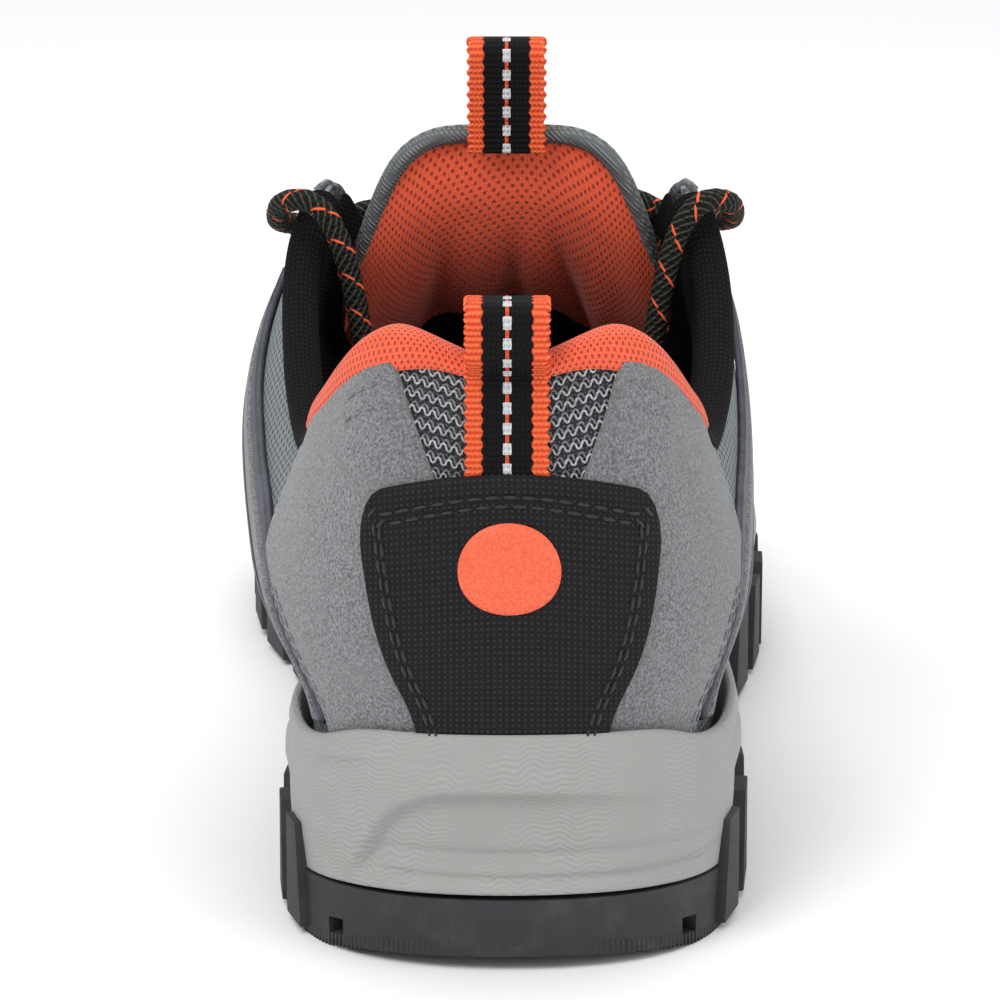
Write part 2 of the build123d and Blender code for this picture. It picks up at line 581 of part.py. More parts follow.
def make_lace():
    laced = list(reversed(LACE_FROM_MEDIAL)) + [LACE_BOTTOM] + LACE_FROM_LATERAL
    nodes = {"lace_laced": cord(laced, LACE_DIAMETER, "lace_laced")}
    ends = (("lateral", LACE_END_LATERAL, AGLET_ENDS[0]), ("medial", LACE_END_MEDIAL, AGLET_ENDS[1]))
    for name, route, tip in ends:
        nodes[f"lace_end_{name}"] = cord(route, LACE_DIAMETER, f"lace_end_{name}")
        along = row_point(tip) - row_point(route[-1])
        start = Plane(row_point(route[-1]) + along.normalized() * FIT_GAP, z_dir=along)
        nodes[f"aglet_{name}"] = extrude(start * Circle(AGLET_DIAMETER / 2), amount=along.length)
    return nodes


# ---------------------------------------------------------------- all nodes
def main():
    os.makedirs("parts", exist_ok=True)
    nodes = {"outsole": make_outsole(), "midsole": make_midsole(), "shank": make_shank()}
    nodes["lasting_board"] = make_board()
    nodes["footbed_foam"], nodes["footbed_cloth"] = make_footbed()
    nodes |= make_heel_pieces() | make_front_pieces() | make_tongue() | make_pull_loops()
    lateral, medial = LACE_FROM_LATERAL, LACE_FROM_MEDIAL
    for name, side, near, far in (("lateral", 1, lateral, medial), ("medial", -1, medial, lateral)):
        passes = [near[0:2], far[3:5], near[6:8], far[9:11]]
        nodes |= make_side_pieces(name, side) | make_lace_holders(name, side, passes)
    nodes |= make_lace()
    for name, shape in nodes.items():
        export_step(shape, f"parts/{name}.step")


main()
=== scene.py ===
"""Looks of a low-cut hiking shoe, right foot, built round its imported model."""
import math

import bmesh
import bpy
import numpy as np
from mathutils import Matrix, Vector


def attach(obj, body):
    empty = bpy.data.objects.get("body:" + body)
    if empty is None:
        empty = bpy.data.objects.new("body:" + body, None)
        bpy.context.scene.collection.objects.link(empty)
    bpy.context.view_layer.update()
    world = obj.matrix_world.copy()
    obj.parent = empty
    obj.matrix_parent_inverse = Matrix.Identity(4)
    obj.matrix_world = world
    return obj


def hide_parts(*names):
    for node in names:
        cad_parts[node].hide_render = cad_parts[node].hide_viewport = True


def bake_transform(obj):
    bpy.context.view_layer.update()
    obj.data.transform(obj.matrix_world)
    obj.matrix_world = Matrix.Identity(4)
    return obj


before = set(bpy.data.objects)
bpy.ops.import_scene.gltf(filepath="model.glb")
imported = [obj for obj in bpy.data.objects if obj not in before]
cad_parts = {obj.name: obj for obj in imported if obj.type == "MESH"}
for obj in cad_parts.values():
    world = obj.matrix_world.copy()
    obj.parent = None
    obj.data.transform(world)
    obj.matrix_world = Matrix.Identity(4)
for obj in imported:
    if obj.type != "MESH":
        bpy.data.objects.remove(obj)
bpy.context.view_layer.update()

# ---------------------------------------------------------------- sizes, in millimetres
# The upper is described by ribs, as in the frame: rib 0 at the back of the heel, 12 at the toe,
# positive on the lateral side. Along a rib, height 0 is its foot in the sole and 1 the topline or ridge.
MM = 0.001
SOLE_LENGTH = 295.0
UPPER_INSET = 5.2
CUP_SHARE = 0.12
LACE_DIAMETER = 4.2
WEBBING_WIDTH = 14.0
SOLE_OUTLINE = [
    (-12, -10, 295), (-11, -32, 286), (-10, -46, 263), (-9, -50.5, 232), (-8, -47.5, 200),
    (-7, -39, 168), (-6, -34, 135), (-5, -34.5, 100), (-4, -37.5, 68), (-3, -39, 42),
    (-2, -34, 18.5), (-1, -20, 4.5), (0, 0.5, 0), (1, 22, 5), (2, 36, 20.5), (3, 41.5, 48),
    (4, 41, 84), (5, 40, 120), (6, 43, 152), (7, 48.5, 182), (8, 50.5, 208), (9, 46.5, 240),
    (10, 34, 268), (11, 14, 288), (12, -10, 295),
]
GROUND = [(0, 4.0), (12, 1.2), (26, 0.0), (70, 0.0), (205, 0.0), (240, 2.6), (268, 8.5), (295, 17.0)]
OUTSOLE_TOP = [(0, 13.0), (20, 11.2), (45, 10), (100, 9.5), (200, 9), (235, 11), (265, 17.5), (295, 29)]
CUP_FLOOR = [(0, 27), (60, 26), (120, 22), (180, 17.6), (215, 17.2), (245, 20), (270, 25), (295, 32)]
CUP_EDGE = [
    (0, 41.5), (8, 40.3), (18, 36.8), (32, 35.2), (50, 35), (80, 33.5), (120, 31.5),
    (170, 29.5), (215, 29.5), (245, 33), (270, 38), (295, 43),
]
TOPLINE = [
    (-9, 0, 204, 64.5), (-8.6, -11, 198, 66.5), (-8, -16, 186, 71.5), (-7, -22, 163, 84),
    (-6, -27.5, 139, 99),
    (-5.55, -32, 121.5, 112.5), (-5, -37.5, 107, 103.5), (-4, -37.5, 80, 89), (-3, -34, 50, 81.5),
    (-2, -30.5, 29, 94), (-1, -20, 12.5, 108.5), (0, 0, 8.5, 103.5), (1, 20, 12.5, 108.5),
    (2, 30.5, 29, 94), (3, 34.5, 50, 81.5), (4, 38.5, 81, 88.5), (5, 37.5, 107, 103),
    (5.55, 32, 121.5, 112.5), (6, 27.5, 139, 99), (7, 22, 163, 84), (8, 16, 186, 71.5), (8.6, 11, 198, 66.5),
    (9, 0, 204, 64.5),
]
RIDGE = [(9, 0, 204, 64.5), (9.5, -1.5, 217, 63.5), (10, -3, 231, 62), (11, -5.5, 247, 60),
         (12, -6.5, 255, 58.5)]
SWELL = [
    (-12, 0.28, 3, 51.5, 0), (-11, 0.30, 3.5, 51, 0), (-10, 0.34, 4, 50, 0), (-9, 0.38, 4.5, 49.5, 1),
    (-8, 0.42, 5.5, 50, 6), (-7, 0.36, 8, 54, 14), (-6, 0.28, 11.5, 59, 24), (-5.55, 0.25, 14.5, 64, 32),
    (-5, 0.25, 15, 67, 30), (-4, 0.28, 11, 62, 24), (-3, 0.30, 7.5, 57, 20), (-2, 0.30, 4.4, 59, 28),
    (-1, 0.30, 3.2, 62, 32), (0, 0.30, 3.2, 63, 30), (1, 0.30, 3.2, 62, 32), (2, 0.30, 3.4, 59, 28),
    (3, 0.30, 5, 56, 20), (4, 0.28, 6.2, 59, 24), (5, 0.25, 8, 62, 30), (5.55, 0.28, 8, 61, 32),
    (6, 0.30, 7, 58, 24), (7, 0.36, 6, 54, 14), (8, 0.42, 5, 50, 6), (9, 0.38, 4, 49.5, 1),
    (10, 0.34, 4, 50, 0), (11, 0.30, 3.5, 51, 0), (12, 0.28, 3, 51.5, 0),
]
DIAGONAL = [
    (2.1, 37.5), (2.3, 42), (2.47, 50), (2.62, 57), (2.85, 62.5), (3.3, 68), (3.9, 73.5), (4.5, 80),
    (4.95, 88), (5.4, 100),
]
TONGUE_LINE = [(0, 213, 50), (0.2, 191, 62), (0.4, 169, 75), (0.6, 148, 89), (0.8, 129.5, 104.5),
               (1, 117.5, 123.5)]
TONGUE_SIZE = [
    (0, 14, 3, 1, 2.4), (0.2, 20, 5, 1.5, 4), (0.4, 24.5, 7, 2, 6.5), (0.6, 27.5, 10.5, 2.5, 8),
    (0.8, 29.5, 13.5, 3, 8), (1, 29, 16, 3.5, 6),
]
EYELET_RIB, EYELET_HEIGHT, EYELET_RADIUS = 5.86, 0.92, 2.75
LACE_BOTTOM = (0, 199, 73)
LACE_FROM_LATERAL = [
    (19.5, 195.5, 74.3), (21.5, 189, 77), (-1.5, 184, 71), (-24.5, 180.5, 80.3), (-26.5, 173.5, 83.4),
    (1, 170, 78),
    (28, 168, 86.5), (30, 160.5, 90), (-1, 155, 89), (-32, 151, 94.6), (-33.2, 144, 98), (-24.5, 142.3, 102),
    (-12, 140.2, 102.6), (3, 138.3, 102), (16, 136, 99.6), (26, 132.2, 94.3), (33, 136.9, 98.1),
]
LACE_FROM_MEDIAL = [
    (-20, 195, 74.3), (-22, 188, 77.2), (1, 184, 78.5), (24, 182, 80), (26, 175, 83), (-1, 169.5, 85.3),
    (-28.5, 166, 86), (-30, 159, 89), (0.5, 155, 95.3), (31.5, 153.5, 94), (33, 146.5, 97.8),
    (24.5, 144, 103.2),
    (12, 141.8, 107.2), (-1, 139, 107.6), (-14, 135.3, 103.6), (-25.3, 130.6, 95.3), (-32.9, 134.3, 97.7),
]
LACE_END_LATERAL = [
    (33, 136.9, 98.1), (37.2, 138.5, 100), (40.8, 131.5, 101.8), (42, 121.5, 104.6), (41, 112, 109.8),
    (35, 106, 111.2), (30.8, 104, 105.5), (28.3, 102, 96), (26.5, 100, 85), (24.6, 97, 70), (22.2, 92, 54),
    (21, 85, 43.5), (21.5, 74, 37.5), (22.5, 62, 36.6), (24, 50, 36.9), (24, 38.5, 37.3), (15.8, 30.3, 37.6),
    (4.2, 30.3, 37.6), (-4, 38.5, 37.3), (-4.5, 50, 36.9), (-2.5, 62, 36.6), (-1, 74, 36.1), (-1.5, 86, 35.4),
    (-3, 97, 34.7),
]
LACE_END_MEDIAL = [
    (-32.9, 134.3, 97.7), (-37.3, 136, 99.8), (-41, 129, 101.8), (-42.4, 119.5, 104.6), (-41.2, 111.3, 109.8),
    (-35, 106.3, 111.2), (-30.6, 104.4, 105.5), (-27.9, 103.2, 96), (-26, 102.4, 85), (-24, 102.2, 70),
    (-21.5, 104, 55), (-20, 110.5, 44.5), (-17.5, 121, 36.3), (-16, 133.5, 32.3), (-14.5, 147, 30.7),
    (-15.5, 160, 29.8), (-18.5, 173, 29), (-21, 186, 28.5), (-20.5, 199, 28.3), (-17, 211, 28.4),
    (-12, 222, 28.8), (-8, 233, 29.6),
]

# ---------------------------------------------------------------- camera, light and floor
CAMERA_TILT = math.radians(15)       # looking down on the back of the heel
CAMERA_DISTANCE = 1.04
CAMERA_TARGET = (-0.0012, -0.1445, 0.0823)


def make_stage():
    scene = bpy.context.scene
    camera = bpy.data.objects.new("camera", bpy.data.cameras.new("camera"))
    camera.data.lens, camera.data.sensor_width = 224.6, 36.0
    camera.location = (
        CAMERA_TARGET[0],
        CAMERA_TARGET[1] - CAMERA_DISTANCE * math.cos(CAMERA_TILT),
        CAMERA_TARGET[2] + CAMERA_DISTANCE * math.sin(CAMERA_TILT),
    )
    camera.rotation_euler = (math.radians(90) - CAMERA_TILT, 0, 0)
    scene.collection.objects.link(camera)
    scene.camera = camera
    scene.view_settings.view_transform = "Standard"
    world = bpy.data.worlds.new("studio")
    world.use_nodes = True
    world.node_tree.nodes["Background"].inputs["Color"].default_value = (1, 1, 1, 1)
    world.node_tree.nodes["Background"].inputs["Strength"].default_value = 0.62
    scene.world = world
    for name, place, size, power, aim in (
        ("key", (-0.55, -0.75, 1.05), 0.7, 9.0, (0, -0.05, 0.05)),
        ("fill", (0.9, -0.55, 0.6), 0.9, 4.0, (0, -0.05, 0.05)),
        ("over", (0.0, 0.35, 1.2), 0.8, 6.0, (0, 0.0, 0.05)),
    ):
        lamp = bpy.data.objects.new(name, bpy.data.lights.new(name, "AREA"))
        lamp.data.size, lamp.data.energy = size, power
        lamp.location = place
        direction = [b - a for a, b in zip(place, aim)]
        lamp.rotation_euler = Vector(direction).to_track_quat("-Z", "Y").to_euler()
        scene.collection.objects.link(lamp)
    floor = bpy.data.meshes.new("floor")
    floor.from_pydata([(-6, -6, 0), (6, -6, 0), (6, 6, 0), (-6, 6, 0)], [], [(0, 1, 2, 3)])
    floor_object = bpy.data.objects.new("floor", floor)
    floor.materials.append(Finish("pale_floor", (0.93, 0.93, 0.93), 0.7).material)
    scene.collection.objects.link(floor_object)


# ---------------------------------------------------------------- materials
def linear(r, g, b):
    """Colour from screen values of 0 to 255."""
    return tuple(((c / 255 + 0.055) / 1.055) ** 2.4 if c > 10 else c / 255 / 12.92 for c in (r, g, b))


class Finish:
    """A procedural material under construction."""

    def __init__(self, name, colour, roughness, **shader):
        self.material = bpy.data.materials.new(name)
        self.material.use_nodes = True
        self.tree = self.material.node_tree
        self.shader = self.tree.nodes["Principled BSDF"]
        self.shader.inputs["Base Color"].default_value = (*colour, 1)
        self.shader.inputs["Roughness"].default_value = roughness
        for words, value in shader.items():
            self.shader.inputs[words.replace("_", " ").title().replace("Ior", "IOR")].default_value = value
        self.coordinates = self.tree.nodes.new("ShaderNodeTexCoord")
        self.material.diffuse_color = (*colour, 1)

    def node(self, kind, output=0, **settings):
        node = self.tree.nodes.new("ShaderNode" + kind)
        inputs = settings.pop("inputs", {})
        for name, value in settings.items():
            setattr(node, name, value)
        for name, value in inputs.items():
            self.join(value, node.inputs[name])
        return node.outputs[output]

    def join(self, value, socket):
        if isinstance(value, bpy.types.NodeSocket):
            self.tree.links.new(value, socket)
        elif isinstance(value, tuple) and socket.type == "RGBA":
            socket.default_value = (*value, 1)
        else:
            socket.default_value = value

    def calc(self, operation, *values):
        return self.node("Math", operation=operation, inputs=dict(enumerate(values)))

    def on_object(self):
        return self.coordinates.outputs["Object"]

    def on_cloth(self):
        """Distances along the piece's surface, in metres, as a pair of sockets."""
        split = self.tree.nodes.new("ShaderNodeSeparateXYZ")
        self.tree.links.new(self.coordinates.outputs["UV"], split.inputs[0])
        return split.outputs[0], split.outputs[1]

    def noise(self, size, detail=2.0, vector=None, roughness=0.5):
        vector = vector or self.on_object()
        return self.node("TexNoise", inputs={"Vector": vector, "Scale": 1 / (size * MM), "Detail": detail,
                                             "Roughness": roughness})

    def cells(self, size, vector=None, randomness=1.0):
        vector = vector or self.on_object()
        return self.node("TexVoronoi",
                         inputs={"Vector": vector, "Scale": 1 / (size * MM), "Randomness": randomness})

    def wave(self, place, pitch, phase=0.0):
        """Sine of a place along the surface, from 0 to 1, with a pitch in millimetres."""
        angle = self.calc("MULTIPLY_ADD", place, 2 * math.pi / (pitch * MM), phase)
        return self.calc("MULTIPLY_ADD", self.calc("SINE", angle), 0.5, 0.5)

    def step(self, value, low, high):
        """Smooth step of a value between two limits."""
        return self.node("MapRange", interpolation_type="SMOOTHSTEP", inputs={0: value, 1: low, 2: high})

    def mix(self, factor, first, second):
        node = self.tree.nodes.new("ShaderNodeMix")
        node.data_type = "RGBA"
        for value, socket in zip((factor, first, second), (node.inputs[0], node.inputs[6], node.inputs[7])):
            self.join(value, socket)
        return node.outputs[2]

    def paint(self, colour):
        self.join(colour, self.shader.inputs["Base Color"])

    def emboss(self, height, depth, strength=1.0):
        """Relief of that depth in millimetres."""
        bump = self.node("Bump", inputs={"Strength": strength, "Distance": depth * MM, "Height": height})
        self.tree.links.new(bump, self.shader.inputs["Normal"])

    def gloss(self, value, low, high):
        """Roughness that runs between two limits as a value goes from 0 to 1."""
        self.join(self.node("MapRange", inputs={0: value, 3: low, 4: high}), self.shader.inputs["Roughness"])


ORANGE = linear(243, 98, 62)
SUEDE_GREY = linear(122, 124, 127)
FOAM_GREY = linear(160, 160, 158)
INK = linear(18, 18, 22)


def suede_finish():
    f = Finish("suede", SUEDE_GREY, 0.92, sheen_weight=0.35, sheen_roughness=0.45)
    nap = f.noise(0.5, 4.0, roughness=0.75)
    brushed = f.noise(9.0, 3.0)
    speckle = f.step(nap, 0.32, 0.72)
    shade = f.mix(speckle, linear(66, 67, 70), linear(158, 160, 163))
    f.paint(f.mix(f.step(brushed, 0.3, 0.75), shade, f.mix(0.35, shade, linear(126, 127, 129))))
    f.emboss(f.calc("ADD", nap, f.calc("MULTIPLY", f.noise(0.25, 2.0), 0.5)), 0.32)
    return f.material


def orange_knit_finish(name, pitch):
    """Spacer knit with a fine staggered grid of dimples."""
    f = Finish(name, ORANGE, 0.85, sheen_weight=0.2, sheen_roughness=0.4)
    u, v = f.on_cloth()
    row = f.calc("FLOOR", f.calc("DIVIDE", v, pitch * 0.62 * MM))
    shift = f.calc("MULTIPLY", f.calc("MODULO", row, 2.0), 0.5)
    across = f.calc("FRACT", f.calc("ADD", f.calc("DIVIDE", u, pitch * MM), shift))
    along = f.calc("FRACT", f.calc("DIVIDE", v, pitch * 0.62 * MM))
    dx = f.calc("SUBTRACT", across, 0.5)
    dy = f.calc("MULTIPLY", f.calc("SUBTRACT", along, 0.5), 0.62)
    reach = f.calc("SQRT", f.calc("ADD", f.calc("MULTIPLY", dx, dx), f.calc("MULTIPLY", dy, dy)))
    solid = f.step(reach, 0.08, 0.26)
    yarn = f.calc("MULTIPLY", f.calc("ADD", f.wave(u, 0.45), f.wave(v, 0.4)), 0.5)
    base = f.mix(f.step(yarn, 0.2, 0.9), linear(232, 84, 50), linear(250, 108, 72))
    base = f.mix(f.calc("MULTIPLY", f.step(f.noise(14.0), 0.35, 0.7), 0.3), base, linear(236, 92, 58))
    f.paint(f.mix(solid, linear(176, 52, 28), base))
    f.emboss(f.calc("ADD", f.calc("MULTIPLY", solid, 0.75), f.calc("MULTIPLY", yarn, 0.2)), 0.4)
    return f.material


def black_knit_finish():
    f = Finish("black_knit", linear(18, 18, 21), 0.9, specular_ior_level=0.15)
    u, v = f.on_cloth()
    skew = f.calc("ADD", v, f.calc("MULTIPLY", f.wave(u, 1.3), 0.45 * MM))
    knit = f.calc("MULTIPLY", f.wave(u, 1.3), f.wave(skew, 0.9))
    f.paint(f.mix(f.step(knit, 0.15, 0.7), linear(8, 8, 10), linear(30, 30, 34)))
    f.emboss(knit, 0.4)
    return f.material


def side_mesh_finish(name, thread, hole):
    """Spacer mesh with staggered oval holes."""
    f = Finish(name, thread, 0.8, sheen_weight=0.15)
    u, v = f.on_cloth()
    pitch = 2.3
    row = f.calc("FLOOR", f.calc("DIVIDE", v, pitch * 0.55 * MM))
    shift = f.calc("MULTIPLY", f.calc("MODULO", row, 2.0), 0.5)
    across = f.calc("SUBTRACT", f.calc("FRACT", f.calc("ADD", f.calc("DIVIDE", u, pitch * MM), shift)), 0.5)
    along = f.calc("SUBTRACT", f.calc("FRACT", f.calc("DIVIDE", v, pitch * 0.55 * MM)), 0.5)
    reach = f.calc("SQRT", f.calc("ADD", f.calc("MULTIPLY", across, across),
                                  f.calc("MULTIPLY", f.calc("MULTIPLY", along, along), 0.5)))
    solid = f.step(reach, 0.18, 0.3)
    fibre = f.wave(f.calc("ADD", u, v), 0.34)
    yarn = f.mix(f.calc("MULTIPLY", fibre, 0.5), thread, tuple(min(1, 1.7 * c) for c in thread))
    f.paint(f.mix(solid, hole, yarn))
    f.emboss(f.calc("ADD", solid, f.calc("MULTIPLY", fibre, 0.15)), 0.5)
    return f.material


def patch_finish():
    """Coated cloth with a fine grid of raised dots."""
    f = Finish("dotted_patch", linear(30, 30, 34), 0.65, specular_ior_level=0.22)
    u, v = f.on_cloth()
    dots = f.calc("MULTIPLY", f.wave(u, 1.05), f.wave(v, 1.05))
    raised = f.step(dots, 0.35, 0.75)
    rip = f.step(f.calc("MAXIMUM", f.wave(u, 5.25), f.wave(v, 5.25)), 0.93, 1.0)
    f.paint(f.mix(raised, linear(15, 15, 18), linear(46, 46, 51)))
    f.emboss(f.calc("ADD", raised, f.calc("MULTIPLY", rip, 0.4)), 0.3)
    return f.material


def chain_ground_finish():
    """Dark backing cloth behind the chain stitches."""
    f = Finish("chain_ground", linear(70, 72, 75), 0.85)
    u, v = f.on_cloth()
    weave = f.calc("MULTIPLY", f.wave(u, 0.8), f.wave(v, 0.8))
    f.paint(f.mix(weave, linear(40, 41, 44), linear(104, 106, 110)))
    f.emboss(weave, 0.3)
    return f.material


def yarn_finish(name, colour, pitch=0.7):
    """Twisted thread or yarn."""
    f = Finish(name, colour, 0.55, sheen_weight=0.2, specular_ior_level=0.5)
    ply = f.noise(pitch, 3.0)
    f.paint(f.mix(f.step(ply, 0.35, 0.7), tuple(0.62 * c for c in colour),
                  tuple(min(1, 1.25 * c) for c in colour)))
    f.emboss(ply, 0.12)
    return f.material


def webbing_finish():
    """Black ribbed strap with orange edges and a row of grey dashes down its middle; u runs across it."""
    f = Finish("pull_webbing", INK, 0.75, specular_ior_level=0.15)
    u, v = f.on_cloth()
    side = f.calc("ABSOLUTE", u)
    rib = f.wave(v, 1.0)
    cord = f.calc("MULTIPLY", rib, f.wave(u, 0.9))
    black = f.mix(cord, linear(5, 5, 6), linear(24, 24, 27))
    edge = f.mix(rib, linear(196, 58, 30), linear(255, 120, 74))
    cloth = f.mix(f.step(side, 4.6 * MM, 4.9 * MM), black, edge)
    dash = f.step(f.wave(v, 3.4), 0.34, 0.42)
    middle = f.mix(dash, linear(206, 82, 48), linear(196, 199, 202))
    wide = f.calc("MULTIPLY_ADD", dash, 0.45 * MM, 0.35 * MM)
    inside = f.calc("LESS_THAN", side, wide)
    f.paint(f.mix(inside, cloth, middle))
    f.emboss(f.calc("ADD", cord, f.calc("MULTIPLY", inside, 0.8)), 0.35)
    return f.material


def lace_finish():
    """Round braid: dark olive and black with orange flecks; u runs round it."""
    f = Finish("lace_braid", linear(50, 50, 42), 0.8, specular_ior_level=0.2)
    u, v = f.on_cloth()
    left = f.wave(f.calc("ADD", v, f.calc("MULTIPLY", u, 0.85)), 1.65)
    right = f.wave(f.calc("SUBTRACT", v, f.calc("MULTIPLY", u, 0.85)), 1.65)
    strands = f.calc("MAXIMUM", left, right)
    over = f.step(f.calc("SUBTRACT", left, right), -0.2, 0.2)
    base = f.mix(over, linear(70, 70, 56), linear(20, 20, 20))
    fleck = f.calc("MULTIPLY", f.step(f.wave(f.calc("ADD", v, f.calc("MULTIPLY", u, 0.4)), 6.6), 0.93, 0.97),
                   f.step(left, 0.6, 0.8))
    f.paint(f.mix(fleck, f.mix(f.step(strands, 0.6, 1.0), linear(14, 14, 13), base), ORANGE))
    f.emboss(strands, 0.45)
    return f.material


def foam_finish():
    """Moulded midsole foam with a fine wavy skin."""
    f = Finish("midsole_foam", FOAM_GREY, 0.62, specular_ior_level=0.35)
    u, v = f.on_cloth()
    drift = f.calc("MULTIPLY", f.noise(11.0, 1.0), 5.0 * MM)
    wavy = f.wave(f.calc("ADD", f.calc("ADD", v, drift), f.calc("MULTIPLY", f.wave(u, 5.0), 0.7 * MM)), 0.95)
    grain = f.noise(0.5, 3.0)
    patches = f.step(f.noise(16.0, 2.0), 0.38, 0.62)
    fine = f.calc("ADD", f.calc("MULTIPLY", wavy, patches), f.calc("MULTIPLY", grain, 0.7))
    tone = f.mix(f.step(fine, 0.2, 1.2), linear(150, 150, 148), linear(157, 157, 155))
    f.paint(f.mix(f.calc("MULTIPLY", f.step(f.noise(30.0, 2.0), 0.4, 0.7), 0.2), tone, linear(146, 145, 143)))
    f.emboss(fine, 0.1)
    return f.material


def rubber_finish(name, colour, wear):
    f = Finish(name, colour, 0.68, specular_ior_level=0.4)
    grain = f.noise(0.6, 4.0, roughness=0.65)
    dust = f.step(f.noise(8.0, 4.0, roughness=0.6), 0.45, 0.75)
    f.paint(f.mix(f.calc("MULTIPLY", dust, wear), colour, linear(92, 91, 90)))
    f.gloss(grain, 0.55, 0.82)
    f.emboss(grain, 0.18)
    return f.material


def film_finish(name, colour):
    """Thin welded film with a fine grain."""
    f = Finish(name, colour, 0.5)
    grain = f.cells(0.5)
    f.paint(f.mix(f.step(f.noise(6.0), 0.35, 0.7), colour, tuple(min(1, 1.5 * c + 0.004) for c in colour)))
    f.gloss(grain, 0.42, 0.62)
    f.emboss(grain, 0.08)
    return f.material


def plain_weave_finish(name, colour, pitch):
    """Woven or knitted cloth on a piece without its own measure of its surface."""
    f = Finish(name, colour, 0.88, specular_ior_level=0.2)
    split = f.tree.nodes.new("ShaderNodeSeparateXYZ")
    f.tree.links.new(f.on_object(), split.inputs[0])
    weave = f.calc("MULTIPLY", f.wave(f.calc("ADD", split.outputs[0], split.outputs[2]), pitch),
                   f.wave(split.outputs[1], pitch))
    f.paint(f.mix(weave, tuple(0.55 * c for c in colour), tuple(min(1, 1.35 * c) for c in colour)))
    f.emboss(weave, 0.25)
    return f.material


def speckled_finish(name, colour, size, roughness, depth=0.15):
    f = Finish(name, colour, roughness)
    grain = f.noise(size, 3.0)
    f.paint(f.mix(f.step(grain, 0.35, 0.7), tuple(0.75 * c for c in colour),
                  tuple(min(1, 1.2 * c) for c in colour)))
    f.emboss(grain, depth)
    return f.material


# ---------------------------------------------------------------- the upper's form
def through(rows, place):
    """Values at places on the smooth curve through rows of (place, value, ...)."""
    rows = np.array(rows, float)
    place = np.clip(np.asarray(place, float), rows[0, 0], rows[-1, 0])
    i = np.clip(np.searchsorted(rows[:, 0], place, side="right") - 1, 0, len(rows) - 2)
    a, b = rows[i], rows[i + 1]
    before, after = rows[np.maximum(i - 1, 0)], rows[np.minimum(i + 2, len(rows) - 1)]
    span = b[..., :1] - a[..., :1]
    t = (place[..., None] - a[..., :1]) / span
    slope_a = (b - before) / (b[..., :1] - before[..., :1]) * span
    slope_b = (after - a) / (after[..., :1] - a[..., :1]) * span
    values = hermite(a, b, slope_a, slope_b, t)[..., 1:]
    return values if values.shape[-1] > 1 else values[..., 0]


def hermite(a, b, slope_a, slope_b, t):
    return ((2 * t**3 - 3 * t**2 + 1) * a + (t**3 - 2 * t**2 + t) * slope_a
            + (3 * t**2 - 2 * t**3) * b + (t**3 - t**2) * slope_b)


def wrapped(rib):
    return (np.asarray(rib, float) + 12) % 24 - 12


CLOSED_OUTLINE = (
    [(k - 24, x, s) for k, x, s in SOLE_OUTLINE[-3:-1]] + SOLE_OUTLINE
    + [(k + 24, x, s) for k, x, s in SOLE_OUTLINE[1:3]]
)


def outline(rib, inset=0.0):
    """Plan points (sideways, station) on the sole's outline moved inwards, and the outward directions."""
    rib = wrapped(rib)
    step = through(CLOSED_OUTLINE, rib + 0.05) - through(CLOSED_OUTLINE, rib - 0.05)
    step /= np.linalg.norm(step, axis=-1, keepdims=True)
    out = np.stack([step[..., 1], -step[..., 0]], axis=-1)
    return through(CLOSED_OUTLINE, rib) - out * np.asarray(inset)[..., None], out


def rib_point(rib, height):
    """Points (sideways, station, height) on the base cloth; above height 1 they run on past the topline."""
    rib, height = np.broadcast_arrays(wrapped(rib), np.asarray(height, float))
    plan, out = outline(rib, UPPER_INSET)
    floor, edge = through(CUP_FLOOR, plan[..., 1]), through(CUP_EDGE, plan[..., 1])
    top = np.where((np.abs(rib) >= 9)[..., None], through(RIDGE, np.abs(rib)), through(TOPLINE, rib))
    share, bulge, swell, rise = np.moveaxis(through(SWELL, rib), -1, 0)
    low = np.concatenate([plan, edge[..., None]], axis=-1)
    mid = np.concatenate([
        plan + (top[..., :2] - plan) * share[..., None] + out * bulge[..., None], swell[..., None]], axis=-1)
    at_low = np.stack([0 * edge, 0 * edge, 1.2 * (swell - edge)], axis=-1)
    at_mid = 0.5 * (top - low)
    at_top = np.concatenate([top[..., :2] - mid[..., :2], rise[..., None]], axis=-1)
    t = ((height - CUP_SHARE) / (1 - CUP_SHARE) * 2)[..., None]
    lower = hermite(low, mid, at_low, at_mid, np.clip(t, 0, 1))
    upper = hermite(mid, top, at_mid, at_top, np.clip(t - 1, 0, 1))
    points = np.where(t < 1, lower, upper) + np.clip(t - 2, 0, None) * at_top
    cup = (floor + (edge - floor) * height / CUP_SHARE)[..., None]
    in_cup = np.concatenate([plan, cup], axis=-1)
    return np.where((height < CUP_SHARE)[..., None], in_cup, points)


def form(rib, height, offset=0.0):
    """Points, in metres, at a distance outside the base cloth's outer face."""
    step = 0.02
    height = np.asarray(height, float)
    across = rib_point(rib + step, height) - rib_point(rib - step, height)
    up = rib_point(rib, height + step) - rib_point(rib, np.maximum(height - step, 0))
    normal = np.cross(across, up)
    normal /= np.linalg.norm(normal, axis=-1, keepdims=True)
    points = rib_point(rib, height) + normal * np.asarray(offset)[..., None]
    return in_metres(points)


def in_metres(points):
    points = np.asarray(points, float) - (0, SOLE_LENGTH / 2, 0)
    return points * MM


def height_at(rib, z):
    """Height along a rib where it reaches that height above the ground."""
    rib = np.asarray(rib, float)
    low, high = np.full(rib.shape, CUP_SHARE), np.ones(rib.shape)
    for _ in range(24):
        middle = (low + high) / 2
        below = rib_point(rib, middle)[..., 2] < z
        low, high = np.where(below, middle, low), np.where(below, high, middle)
    return low


